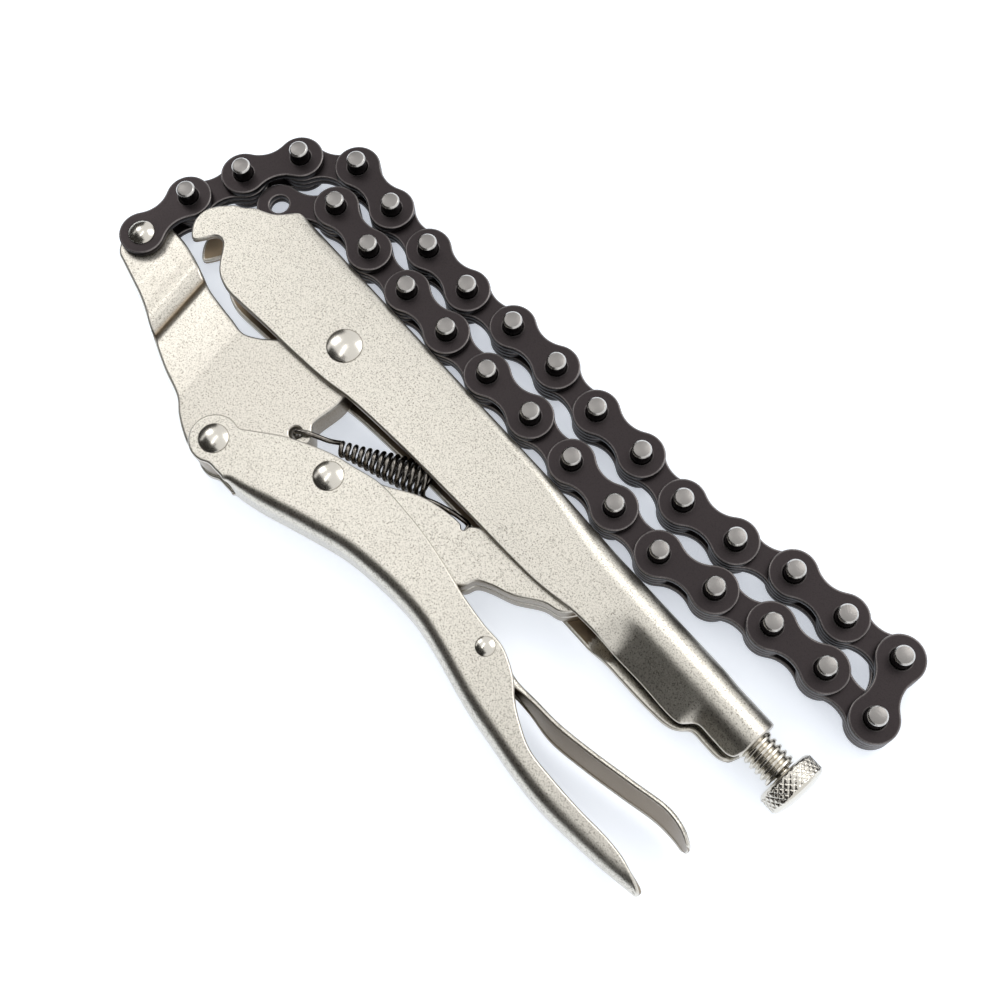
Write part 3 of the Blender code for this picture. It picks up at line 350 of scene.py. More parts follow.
def inside(points, loops):
    """True where a point has an odd number of loop edges to its right."""
    odd = np.zeros(len(points), bool)
    x = points[:, :1]
    y = points[:, 1:]
    for loop in loops:
        a = loop
        b = np.roll(loop, -1, 0)
        crosses = (a[:, 1] > y) != (b[:, 1] > y)
        rise = np.where(a[:, 1] == b[:, 1], 1.0, b[:, 1] - a[:, 1])
        cut = a[:, 0] + (y - a[:, 1]) * (b[:, 0] - a[:, 0]) / rise
        odd ^= (crosses & (x < cut)).sum(1) % 2 == 1
    return odd


def grid_inside(loops, along, across):
    """Points in staggered rows inside the loops, at a share of the spacing or more from them."""
    border = np.vstack(loops)
    low = border.min(0)
    high = border.max(0)
    x, y = np.meshgrid(np.arange(low[0], high[0], along), np.arange(low[1], high[1], across))
    x = x + along / 2 * (np.arange(len(y)) % 2)[:, None]
    points = np.stack([x.ravel(), y.ravel()], 1)
    points = points[inside(points, loops)]
    scale = np.array([1.0 / along, 1.0 / across])
    far = np.full(len(points), np.inf)
    for part in np.array_split(border, max(len(border) // 100, 1)):
        apart = (points[:, None, :] - part[None]) * scale
        far = np.minimum(far, (apart ** 2).sum(2).min(1))
    return points[far > CLEAR_SHARE]


def filled(loops, points):
    """Triangles over the flat region inside the first loop and outside the others."""
    every = np.vstack(loops + [points])
    edges = []
    start = 0
    for loop in loops:
        number = np.arange(len(loop)) + start
        edges.append(np.stack([number, np.roll(number, -1)], 1))
        start += len(loop)
    made = delaunay_2d_cdt([Vector(p) for p in every.tolist()], np.vstack(edges).tolist(), [],
                           1, 1e-5)
    place = np.array([tuple(p) for p in made[0]])
    owner = np.array([o[0] if len(o) else -1 for o in made[3]])
    new = np.flatnonzero(owner < 0)
    owner[new] = len(every) + np.arange(len(new))
    every = np.vstack([every, place[new]])
    triangles = owner[np.array(made[2])]
    corner = every[triangles]
    triangles = triangles[inside(corner.mean(1), loops)]
    corner = every[triangles]
    one = corner[:, 1] - corner[:, 0]
    two = corner[:, 2] - corner[:, 0]
    turned = one[:, 0] * two[:, 1] - one[:, 1] * two[:, 0] < 0
    triangles[turned] = triangles[turned][:, ::-1]
    return every, triangles


def blank(edge, holes, place, rim, across, seam=None, steps=6):
    """A closed skin: cut as a flat blank, its cut edge rounded, and then set in place.

    A ring at angle a lies rim * (1 - cos a) inside the edge and rim * (1 - sin a) below the face.
    Every line has the material on its left. place takes flat points, the side and the depth.
    With a seam the edge is open: it runs from the seam's front end round to its rear end.
    """
    angle = np.radians(np.linspace(90.0, 0.0, steps))
    inset = np.concatenate([[rim + FLAT_BORDER], rim * (1 - np.cos(angle))])
    drop = np.concatenate([[0.0], rim * (1 - np.sin(angle))])
    # The flat face, rim rings rubbed and partly a painted highlight, and painted shade on the last
    # ring, the side wall
    ring_wear_and_painted_light = [0.0, RIM_WEAR_AND_HIGHLIGHT_START, *[RIM_WEAR_AND_HIGHLIGHT] * (steps - 2), SIDE_WALL_PAINTED_SHADE]
    rings = []
    for number, line in enumerate([edge] + holes):
        is_open = number == 0 and seam is not None
        normal = left_normals(line, not is_open)
        if is_open:
            normal[0] = (1.0, 0.0)
            normal[-1] = (-1.0, 0.0)
        stack = line[None] + inset[:, None, None] * normal[None]
        if is_open:
            stack[:, 0, 1] = seam(stack[:, 0, 0])
            stack[:, -1, 1] = seam(stack[:, -1, 0])
        rings.append(stack)
    border = rings[0][0]
    if seam is not None:
        number = int(abs(border[-1, 0] - border[0, 0]) / across[0])
        x = np.linspace(border[-1, 0], border[0, 0], number + 2)[1:-1]
        border = np.vstack([border, np.stack([x, seam(x)], 1)])
    loops = [border] + [stack[0] for stack in rings[1:]]
    flat, triangles = filled(loops, grid_inside(loops, *across))
    points = [flat]
    depth = [np.zeros(len(flat))]
    wear_and_painted_light = [np.zeros(len(flat))]
    index = []
    start = 0
    used = len(flat)
    for loop, stack in zip(loops, rings):
        count_here = stack.shape[1]
        rows = [start + np.arange(count_here)]
        for k in range(1, len(stack)):
            rows.append(used + np.arange(count_here))
            used += count_here
            points.append(stack[k])
            depth.append(np.full(count_here, drop[k]))
            wear_and_painted_light.append(np.full(count_here, ring_wear_and_painted_light[k]))
        index.append(rows)
        start += len(loop)
    points = np.vstack(points)
    depth = np.concatenate(depth)
    wear_and_painted_light = np.concatenate(wear_and_painted_light)
    quads = []
    for number, rows in enumerate(index):
        is_open = number == 0 and seam is not None
        for side in (0, 1):
            for inner, outer in zip(rows, rows[1:]):
                made = strip(inner, outer, is_open) + side * used
                quads.append(made[:, ::-1] if side else made)
        quads.append(strip(rows[-1], rows[-1] + used, is_open))
    vertices = np.vstack([place(points, 1, depth), place(points, -1, depth)])
    triangles = np.vstack([triangles, triangles[:, ::-1] + used])
    return vertices, triangles, np.vstack(quads), np.concatenate([wear_and_painted_light, wear_and_painted_light])


def strip(inner, outer, is_open):
    """Quads between two rows of vertices, the inner one on the material's side."""
    if is_open:
        return np.stack([inner[:-1], outer[:-1], outer[1:], inner[1:]], 1)
    return np.stack([inner, outer, np.roll(outer, -1), np.roll(inner, -1)], 1)


def joined(shells):
    """Several shells as one set of arrays."""
    starts = np.cumsum([0] + [len(s[0]) for s in shells])
    return (np.vstack([s[0] for s in shells]),
            *(np.vstack([s[k] + n for s, n in zip(shells, starts)]) for k in (1, 2)),
            np.concatenate([s[3] for s in shells]))


def welded(shell):
    """The shell with vertices at one place made one, and faces that shrink to a line dropped."""
    vertices, triangles, quads, wear_and_painted_light = shell
    first, owner = np.unique(np.round(vertices / WELD), axis=0, return_index=True,
                             return_inverse=True)[1:]
    owner = owner.reshape(-1)
    triangles = owner[triangles]
    quads = owner[quads]
    ordered = np.sort(triangles, 1)
    triangles = triangles[(ordered[:, 1:] != ordered[:, :-1]).all(1)]
    return vertices[first], triangles, quads, wear_and_painted_light[first]


def mirrored(shell, middle):
    """The shell on the other side of a level plane."""
    vertices, triangles, quads, wear_and_painted_light = shell
    other = vertices.copy()
    other[:, 2] = 2 * middle - other[:, 2]
    return other, triangles[:, ::-1], quads[:, ::-1], wear_and_painted_light


def both_halves(half, s):
    """An upper half and its mirror image as one closed skin."""
    return welded(joined([half, mirrored(half, s.middle)]))


def level(low, high):
    """Places a flat plate between two heights."""
    def place(points, side, depth):
        z = high - depth if side > 0 else low + depth
        return np.column_stack([points, z])
    return place


def round_turn(sides):
    """Angles once round, evenly."""
    return np.linspace(0.0, math.tau, sides, endpoint=False)


def spun(radius, height, angle):
    """Rings about Z: the radius by ring, or by ring and angle, and the height by ring."""
    return np.stack([radius * np.cos(angle), radius * np.sin(angle),
                     np.repeat(height[:, None], len(angle), 1)], 2)


def turned(profile, sides, place):
    """A round solid: radius by height, from its top at the axis down to its bottom at the axis."""
    profile = np.asarray(profile, float)
    body = spun(profile[1:-1, :1], profile[1:-1, 1], round_turn(sides))
    return capped(body, profile[0, 1], profile[-1, 1], place)


def capped(body, top, bottom, place, along_x=False):
    """Rings about Z, the top one first, closed with a middle point at either end and put in place.

    Along X, a point (x, y, z) goes to (z, y, -x).
    """
    rows, sides = body.shape[:2]
    first = rows * sides
    grid = np.arange(first).reshape(rows, sides)
    quads = [strip(upper, lower, False) for upper, lower in zip(grid, grid[1:])]
    upper = np.stack([np.full(sides, first), grid[0], np.roll(grid[0], -1)], 1)
    lower = np.stack([np.full(sides, first + 1), np.roll(grid[-1], -1), grid[-1]], 1)
    vertices = np.vstack([body.reshape(-1, 3), [[0.0, 0.0, top], [0.0, 0.0, bottom]]])
    if along_x:
        vertices = np.stack([vertices[:, 2], vertices[:, 1], -vertices[:, 0]], 1)
    vertices = vertices + np.asarray(place, float)
    return vertices, np.vstack([upper, lower]), np.vstack(quads), np.zeros(len(vertices))


def tube(route, radius, sides):
    """A round wire along a route, its frame carried on without twist, its ends closed.

    Each ring is normal * cos a + other * sin a about the route, where a normal is the last one
    less its part along the way.
    """
    slanted = (0.3, 0.5, 0.81)
    tip = radius * 0.4
    way = np.gradient(route, axis=0)
    way = way / np.linalg.norm(way, axis=1, keepdims=True)
    normals = [np.cross(way[0], slanted)]
    for ahead in way[1:]:
        last = normals[-1]
        normals.append(last - ahead * np.dot(last, ahead))
    normal = np.array(normals)
    normal = normal / np.linalg.norm(normal, axis=1, keepdims=True)
    other = np.cross(way, normal)
    angle = round_turn(sides)
    ring = (normal[:, None] * np.cos(angle)[None, :, None]
            + other[:, None] * np.sin(angle)[None, :, None])
    body = (route[:, None] + radius * ring).reshape(-1, 3)
    grid = np.arange(len(body)).reshape(len(route), sides)
    quads = [strip(a, b, False)[:, ::-1] for a, b in zip(grid, grid[1:])]
    end = len(body)
    first = np.stack([np.full(sides, end), np.roll(grid[0], -1), grid[0]], 1)
    last = np.stack([np.full(sides, end + 1), grid[-1], np.roll(grid[-1], -1)], 1)
    tips = np.stack([route[0] - way[0] * tip, route[-1] + way[-1] * tip])
    vertices = np.vstack([body, tips])
    return vertices, np.vstack([first, last]), np.vstack(quads), np.zeros(len(vertices))


def origin():
    """The drawing frame's zero in the row frame, in metres: the middle of the main rivet."""
    low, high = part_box("main_rivet")
    return np.array([(low.x + high.x) / 2, (low.y + high.y) / 2, 0.0])


def along_x(corners):
    """Where the corners of a box lie along X in the drawing frame."""
    return [(corner.x - origin()[0]) / MM for corner in corners]


def linked(name, data):
    """An object on the scene."""
    item = bpy.data.objects.new(name, data)
    bpy.context.scene.collection.objects.link(item)
    return item


def piece(name, shell, look, body, nodes):
    """Puts a shell on the scene as an object that rides with a body in place of its CAD nodes."""
    vertices, triangles, quads, wear_and_painted_light = shell
    mesh = bpy.data.meshes.new(name)
    mesh.vertices.add(len(vertices))
    mesh.vertices.foreach_set("co", (vertices * MM + origin()).astype(np.float32).ravel())
    corners = np.concatenate([triangles.ravel(), quads.ravel()]).astype(np.int32)
    mesh.loops.add(len(corners))
    mesh.loops.foreach_set("vertex_index", corners)
    starts = np.concatenate([np.arange(len(triangles)) * 3,
                             len(triangles) * 3 + np.arange(len(quads)) * 4]).astype(np.int32)
    mesh.polygons.add(len(starts))
    mesh.polygons.foreach_set("loop_start", starts)
    mesh.update(calc_edges=True)
    mesh.validate()
    mesh.shade_smooth()
    attribute = mesh.attributes.new("wear_and_painted_light", "FLOAT", "POINT")
    attribute.data.foreach_set("value", wear_and_painted_light.astype(np.float32))
    mesh.materials.append(finish(look))
    item = linked(name, mesh)
    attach(item, body)
    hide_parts(*nodes)


# Folded sheet

# Height over which a cheek sinks to its full dip, in millimetres
DIP_REACH = 14.0
# Steepness past which the lip's easing is flat, so that exp stays small
EASE_LIMIT = 30.0
# Where the search for a flat height starts, and how often it halves its interval
FLAT_LOWEST = -70.0
FLAT_TOP_SHARE = 0.55
HALVINGS = 40
FOLD_EASE = 0.45


def folded_shape(half, corner, crest, sheet, **more):
    """A folded sheet by place along X, with no dip and no tube unless more says so."""
    plain_sheet = {"closing": np.zeros_like, "dip": np.zeros_like,
                   "wall": lambda x: np.full_like(x, sheet)}
    return SimpleNamespace(half=half, corner=corner, crest=crest, sheet=sheet,
                           **{**plain_sheet, **more})


def channel_section(shape, x, w):
    """Height, half width and normal of the outer face of a folded sheet.

    w is the height on the flat cheek, then the way round the corner and over the back to the
    middle plane. Below the axis the cheek closes into a tube: an arc of the half width, a straight
    flank, and a level lip.
    """
    half = shape.half(x)
    corner = shape.corner(x)
    base = shape.crest(x) - corner
    turn = np.clip((w - base) / corner, 0.0, math.pi / 2)
    beyond = np.maximum(w - base - corner * math.pi / 2, 0.0)
    y = np.where(w < base, w, base + corner * np.sin(turn))
    z = half - corner + corner * np.cos(turn) - beyond
    z = z - dipped(shape, x, w)
    slope = np.where(w < base, shape.dip(x) / DIP_REACH, 0.0)
    normal_y = np.sin(turn) - slope
    normal_z = np.cos(turn)
    closing = shape.closing(x)
    if np.any(closing > 0):
        limit = shape.limit(x)
        run = np.maximum(base - w, 0.0)
        facing = np.minimum(run / half, limit)
        straight = np.maximum(run - half * limit, 0.0)
        tube_y = base - half * np.sin(facing) - straight * np.cos(facing)
        rise = (half * np.cos(facing) - straight * np.sin(facing) - shape.lip) / shape.ease
        tube_z = shape.lip + shape.ease * np.logaddexp(0.0, rise)
        eased = np.clip(rise, -EASE_LIMIT, EASE_LIMIT)
        facing = np.arctan(np.tan(facing) / (1 + np.exp(-eased)))
        low = w < base
        y = np.where(low, mix(y, tube_y, closing), y)
        z = np.where(low, mix(z, tube_z, closing), z)
        normal_y = np.where(low, mix(0.0, -np.sin(facing), closing), normal_y)
        normal_z = np.where(low, mix(1.0, np.cos(facing), closing), normal_z)
    size = np.hypot(normal_y, normal_z)
    return y, z, normal_y / size, normal_z / size


def dipped(shape, x, w):
    """How far the cheek sinks toward its free edge, in millimetres."""
    base = shape.crest(x) - shape.corner(x)
    return shape.dip(x) * np.clip((base - w) / DIP_REACH, 0.0, 1.0)


def seam_of(shape):
    """Where the sheet meets the middle plane, as the way round the corner."""
    def seam(x):
        corner = shape.corner(x)
        return shape.crest(x) + corner * (math.pi / 2 - 2) + shape.half(x)
    return seam


def unfolded(shape, line):
    """Flat points from points seen from above, by halving the interval of w."""
    x = line[:, 0]
    low = np.full(len(x), FLAT_LOWEST)
    high = shape.crest(x) + FLAT_TOP_SHARE * shape.corner(x)
    for _ in range(HALVINGS):
        middle = (low + high) / 2
        over = channel_section(shape, x, middle)[0] > line[:, 1]
        high = np.where(over, middle, high)
        low = np.where(over, low, middle)
    return np.stack([x, (low + high) / 2], 1)


def folded(shape, s):
    """Sets flat points of the upper half on the folded sheet."""
    def place(points, side, depth):
        x = points[:, 0]
        y, z, normal_y, normal_z = channel_section(shape, x, points[:, 1])
        wall = shape.wall(x) - dipped(shape, x, points[:, 1]) * (1 - shape.closing(x))
        inward = depth if side > 0 else shape.sheet - depth
        inward = inward * wall / shape.sheet
        return np.stack([x, y - normal_y * inward, s.middle + z - normal_z * inward], 1)
    return place


def folded_half(shape, s, front, line, rear):
    """One half of a folded sheet from its edge: front and rear are flat, line is from above."""
    seam = seam_of(shape)
    start = np.array([[front[0][0], seam(np.array([front[0][0]]))[0]]])
    end = np.array([[rear[-1][0], seam(np.array([rear[-1][0]]))[0]]])
    middle = unfolded(shape, curved(line))
    edge = np.vstack([curved(np.vstack([start, front[1:], middle[:1]])), middle[1:-1],
                      curved(np.vstack([middle[-1:], rear[:-1], end]))])
    edge = eased_edge(edge, start, end, FOLD_EASE, s.step)
    return inner_face_shaded(blank(edge, [], folded(shape, s), s.rim, SHEET_GRID, seam), shape)


def inner_face_shaded(shell, shape):
    """The shell with painted shade on the sheet's inner face, its second half, outside the tube.
    """
    wear_and_painted_light = shell[3].copy()
    number = len(wear_and_painted_light) // 2
    second = wear_and_painted_light[number:]
    second[(second <= 0) & (shape.closing(shell[0][number:, 0]) <= 0)] = INNER_FACE_PAINTED_SHADE
    return (*shell[:3], wear_and_painted_light)


# Materials

# Sizes in the metals' grain: the broad shading in millimetres, the others as shares of the grain
BLOTCH_SIZE = 9.0
SPECK_SHARE = 1.5
BUMP_SHARE = 0.35
# Spans of noise that turn into pits, into breaks in the rubbed rim and its painted highlight, and
# into uneven gloss
PIT_SPAN = (0.495, 0.70)
BREAK_SPAN = (0.35, 0.6)
BREAK_SHARES = (1.0, 0.55)
GLOSS_SPAN = (0.3, 0.7)
# Attribute values at which the painted shade is full, and at which it is gone
PAINTED_SHADE_SPAN = (-1.0, -0.2)


def new_material(name):
    """A material, its node tree and its shader."""
    material = bpy.data.materials.new(name)
    material.use_nodes = True
    tree = material.node_tree
    return material, tree, tree.nodes["Principled BSDF"]


def feed(tree, node, inputs):
    """Gives inputs, by name or number, a number, a colour or another node's output."""
    for name, value in inputs.items():
        if isinstance(value, bpy.types.NodeSocket):
            tree.links.new(value, node.inputs[name])
        elif isinstance(value, (int, float)):
            node.inputs[name].default_value = value
        else:
            node.inputs[name].default_value = (*value, 1.0)


def add_node(tree, kind, place, inputs=None, **settings):
    """A node at a place in the tree, with its settings and its inputs."""
    node = tree.nodes.new(kind)
    node.location = place
    for name, value in settings.items():
        setattr(node, name, value)
    feed(tree, node, inputs or {})
    return node


def noise(tree, place, at, size, rough):
    """Noise in three octaves, with lumps of about a size in millimetres."""
    return add_node(tree, "ShaderNodeTexNoise", place, {
        "Vector": at, "Scale": 1.0 / (size * MM), "Detail": 3.0, "Roughness": rough,
    }).outputs["Fac"]


def span(tree, place, value, low, high, first, second):
    """A value carried from one span to another, cut off at its ends."""
    return add_node(tree, "ShaderNodeMapRange", place, {
        "Value": value, "From Min": low, "From Max": high, "To Min": first, "To Max": second,
    }, clamp=True).outputs["Result"]


def blended(tree, place, factor, first, second):
    """A mix of two colours; either may be a colour or another node's output."""
    return add_node(tree, "ShaderNodeMix", place, {0: factor, 6: first, 7: second},
                    data_type="RGBA").outputs[2]


def metal(name, tone, pit, rough, grain, grain_size, edge_wear_and_highlight_tone=None, edge_rough=None, inner=None,
          metallic=1.0, blotch=0.02):
    """Plated or blackened steel: fine grain in colour, roughness and height, with rubbed edges,
    partly a painted highlight.

    Colour is tone, with pit where the speckle is high, inner as painted shade where the attribute
    is below zero, and the edge colour, rubbed and partly a painted highlight, where it is above
    zero and the speckle doesn't break it.
    """
    material, tree, shader = new_material(name)
    at = add_node(tree, "ShaderNodeTexCoord", (-1400, 0)).outputs["Object"]
    fine = noise(tree, (-1150, 200), at, grain_size, 0.6)
    coarse = noise(tree, (-1150, -100), at, BLOTCH_SIZE, 0.5)
    speck = noise(tree, (-1150, -400), at, grain_size * SPECK_SHARE, 0.75)
    wear_and_painted_light = add_node(tree, "ShaderNodeAttribute", (-900, -700), attribute_name="wear_and_painted_light")
    wear_and_painted_light = wear_and_painted_light.outputs["Fac"]
    breaks = span(tree, (-900, -900), speck, *BREAK_SPAN, *BREAK_SHARES)
    rim_wear_and_highlight = add_node(tree, "ShaderNodeMath", (-700, -650), {0: wear_and_painted_light, 1: breaks},
                      operation="MULTIPLY", use_clamp=True).outputs[0]
    pits = span(tree, (-900, -400), speck, *PIT_SPAN, 0.0, 1.0)
    shown = blended(tree, (-600, 200), pits, tone, pit)
    if inner is not None:
        painted_shade_share = span(tree, (-700, -900), wear_and_painted_light, *PAINTED_SHADE_SPAN, 1.0, 0.0)
        shown = blended(tree, (-480, 300), painted_shade_share, shown, inner)
    if edge_wear_and_highlight_tone is not None:
        shown = blended(tree, (-350, 100), rim_wear_and_highlight, shown, edge_wear_and_highlight_tone)
    gloss = span(tree, (-600, -150), coarse, *GLOSS_SPAN, rough - blotch, rough + blotch)
    worn = add_node(tree, "ShaderNodeMix", (-350, -150), {
        0: rim_wear_and_highlight, 2: gloss, 3: rough if edge_rough is None else edge_rough,
    }, data_type="FLOAT")
    bump = add_node(tree, "ShaderNodeBump", (-350, -400), {
        "Strength": grain, "Distance": grain_size * BUMP_SHARE * MM, "Height": fine})
    feed(tree, shader, {"Metallic": metallic, "Base Color": shown, "Roughness": worn.outputs[0],
                        "Normal": bump.outputs["Normal"]})
    return material


def finish(name):
    """The named material, made once from the panel's colours.

    A row has colour, colour of pits, roughness, depth and size of the grain; then colour and
    roughness of rubbed edges, partly a painted highlight, colour of the painted shade on inner
    faces and side walls, metallic share and unevenness of the gloss.
    """
    c = bpy.context.scene.clamp_colours
    rows = {
        # Nickel: rubbed rims in bright nickel, partly a painted highlight; painted shade on inner
        # faces, side walls and the groove
        "satin_nickel_look": (c.nickel, c.nickel_pit, c.nickel_rough, c.grain, 0.26, c.bright,
                              0.28, c.painted_shade_brown),
        "forged_nickel_look": (c.jaw_tone, c.nickel_pit, c.nickel_rough, c.grain * 0.8, 0.27,
                               c.bright, 0.28, c.painted_shade_brown),
        "bright_nickel_look": (c.bright, c.nickel, 0.19, 0.02, 0.5),
        # Plates: rubbed edges, partly a painted highlight; near-black painted shade on their side
        # walls
        "blackened_look": (c.plate, (0.03, 0.025, 0.026), c.plate_rough, 0.18, 0.22, c.plate_edge,
                           0.30, (0.010, 0.008, 0.009), 0.9, 0.05),
        # Pins: bevels rubbed and partly a painted highlight; near-black painted shade on their
        # sides
        "pin_end_look": (c.pin_steel, c.plate_edge, 0.36, 0.3, 0.35, (0.66, 0.65, 0.63), 0.25,
                         (0.03, 0.027, 0.028)),
        "spring_look": (c.spring, c.plate, 0.2, 0.05, 0.4),
    }
    return bpy.data.materials.get(name) or metal(name, *rows[name])


# Pieces

# Spans along X over which the handle's form changes, in millimetres
SMALL_CORNER = 2.0
NOSE_SPAN = (-39.0, -33.0)
DIP_SPAN = (52.0, 84.0)
ROUNDING_SPAN = (56.0, 90.0)
TUBE_SPAN = (96.5, 105.0)
DRAWN_IN_SPAN = (123.0, 129.0)
FLANK_SPAN = (125.0, 129.5)
# The tube's arc in degrees before its flank goes straight, and how its lip lies
FLANK_DEGREES = (26.0, 43.0)
LIP_PLAY = 0.06
LIP_EASE = 0.25
# Front and rear edges are flat: the place along X and the way round the corner
HANDLE_FRONT = ((-33.0, 20.0), (-33.0, 19.5), (-33.4, 18.2), (-34.6, 17.0), (-36.4, 16.5))
HANDLE_REAR_WAYS = (5.0, 9.0, 14.0, 17.0)
LEVER_FRONT = ((9.0, 50.0), (9.0, 49.0), (8.8, 47.4))
LEVER_REAR = ((148.0, 35.3), (148.3, 36.4), (148.3, 37.2))
LEVER_CREST_SPAN = (5.6, 8.6)
LEVER_FRONT_CREST = 50.0
LEVER_CORNER_SPAN = (8.0, 20.0)
LEVER_NARROWING = (LEVER_PIVOT[0] + 120.1, LEVER_PIVOT[0] + 150.1)
PRONG_RADIUS = 6.6
PRONG_START = ((7.2, -45.0), (4.6, -45.2))
PRONG_END = (-0.1, -33.8)
RELEASE_CORNER = 1.25
RELEASE_EDGE = (71.2, 147.6)
RELEASE_ENDS = (70.4, 148.7)
RELEASE_EASE = 0.35
RELEASE_RIM = 0.35
RELEASE_WIDTH = 12.0
# Bores by place, radius and degrees between points
RELEASE_BORE = (RELEASE_PIVOT, 1.9, 15.0)
TOGGLE_BORE = (LINK_PIVOT, 3.0, 14.0)
JAW_BORES = ((MAIN_PIVOT, 3.5, 12.0), (LEVER_PIVOT, 3.0, 14.0), (SPRING_HOLE, 1.5, 18.0),
             (CHAIN_PIVOT, 2.65, 15.0))
TOGGLE_RIM = 0.5
TOGGLE_EASE = 0.3
TOGGLE_STEP = 0.6
JAW_EASE = 0.4
# The jaw's groove slants by degrees and has a band of painted shade; round the chain's rivet the
# jaw is thin
JAW_SLANT = 12.0
JAW_TIP_HALF = 1.8
JAW_TIP_SPAN = (7.0, 9.0)
GROOVE_SHADE_PLACE = -43.2
GROOVE_SHADE_REACH = 1.6
GROOVE_SHADE_PEAK = 1.25


def handle_shape(s):
    """The handle's section: its back is the crest, and its rear closes into a tube."""
    tube_axis = s.spine - s.half_width

    def half(x):
        return mix(s.half_width, s.tail_half, smooth_step(*DRAWN_IN_SPAN, x))

    def corner(x):
        nose = mix(SMALL_CORNER, s.corner, smooth_step(*NOSE_SPAN, x))
        return mix(nose, half(x), smooth_step(*ROUNDING_SPAN, x))

    return folded_shape(
        half, corner, lambda x: tube_axis + half(x), s.wall,
        closing=lambda x: smooth_step(*TUBE_SPAN, x),
        limit=lambda x: np.radians(mix(*FLANK_DEGREES, smooth_step(*FLANK_SPAN, x))),
        lip=s.wall + LIP_PLAY, ease=LIP_EASE, dip=lambda x: s.dip * smooth_step(*DIP_SPAN, x),
        wall=lambda x: half(x) - (s.half_width - s.wall))


def build_handle(s):
    """Two folded halves that differ in their seam line only, the lower one mirrored."""
    rear = [(s.tail, way) for way in HANDLE_REAR_WAYS]
    upper, lower = (folded_half(handle_shape(s), s, HANDLE_FRONT,
                                np.array(NOSE + LOWER_EDGE + seam_line), rear)
                    for seam_line in (UPPER_SEAM, LOWER_SEAM))
    shell = welded(joined([upper, mirrored(lower, s.middle)]))
    piece("main_handle_skin", shell, "satin_nickel_look", "main_handle", ["main_handle"])


def lever_shape(s):
    """The lever's section, worked out with Y turned over, so that its back is the crest."""
    side = curved(LEVER_SIDE)

    def half(x):
        return mix(s.half_width, s.lever_tip_half, smooth_step(*LEVER_NARROWING, x))

    def corner(x):
        return mix(SMALL_CORNER, s.lever_corner, smooth_step(*LEVER_CORNER_SPAN, x))

    def crest(x):
        back = -np.interp(x, side[:, 0], side[:, 1])
        return mix(LEVER_FRONT_CREST, back, smooth_step(*LEVER_CREST_SPAN, x))

    return folded_shape(half, corner, crest, s.wall)


def build_lever(s):
    """Two equal folded halves, made with Y turned over and then turned back."""
    prong = arc(LEVER_PIVOT, PRONG_RADIUS, 75.0, 310.0, 16)
    line = np.vstack([PRONG_START, prong[::-1], PRONG_END, LEVER_EDGE]) * (1.0, -1.0)
    half = folded_half(lever_shape(s), s, LEVER_FRONT, line, LEVER_REAR)
    vertices, triangles, quads, wear_and_painted_light = both_halves(half, s)
    shell = (vertices * (1.0, -1.0, 1.0), triangles[:, ::-1], quads[:, ::-1], wear_and_painted_light)
    piece("lever_skin", shell, "satin_nickel_look", "lever", ["lever_handle"])


def build_release(s):
    """Two equal folded halves by the rows, leant over.

    Y moves by the row's lean * release_lean * (height under the row's top) / width.
    """
    rows = curved(RELEASE_ROWS, spacing=0.5)
    rows = rows[np.argsort(rows[:, 0])]

    def column(k):
        return lambda x: np.interp(x, rows[:, 0], rows[:, k])

    crest, half_width, depth, lean = (column(k) for k in range(1, 5))
    shape = folded_shape(half_width, lambda x: np.full_like(x, RELEASE_CORNER), crest,
                         s.release_sheet)
    seam = seam_of(shape)
    start, end = np.column_stack([RELEASE_ENDS, seam(np.array(RELEASE_ENDS))])
    x = np.linspace(*RELEASE_EDGE, 60)
    edge = unfolded(shape, np.stack([x, crest(x) - depth(x)], 1))
    edge = np.vstack([start, (start[0], (start[1] + edge[0, 1]) / 2), edge,
                      (end[0], (end[1] + edge[-1, 1]) / 2), end])
    edge = eased_edge(edge, start, end, RELEASE_EASE, s.step)
    half = blank(edge, [bore(*RELEASE_BORE)], folded(shape, s), RELEASE_RIM, RELEASE_GRID, seam)
    shell = both_halves(inner_face_shaded(half, shape), s)
    vertices = shell[0].copy()
    drop = (vertices[:, 2] - s.middle - half_width(vertices[:, 0])) / RELEASE_WIDTH
    vertices[:, 1] += lean(vertices[:, 0]) * s.release_lean * drop
    piece("release_lever_skin", (vertices, *shell[1:]), "satin_nickel_look", "release_lever",
          ["release_lever"])


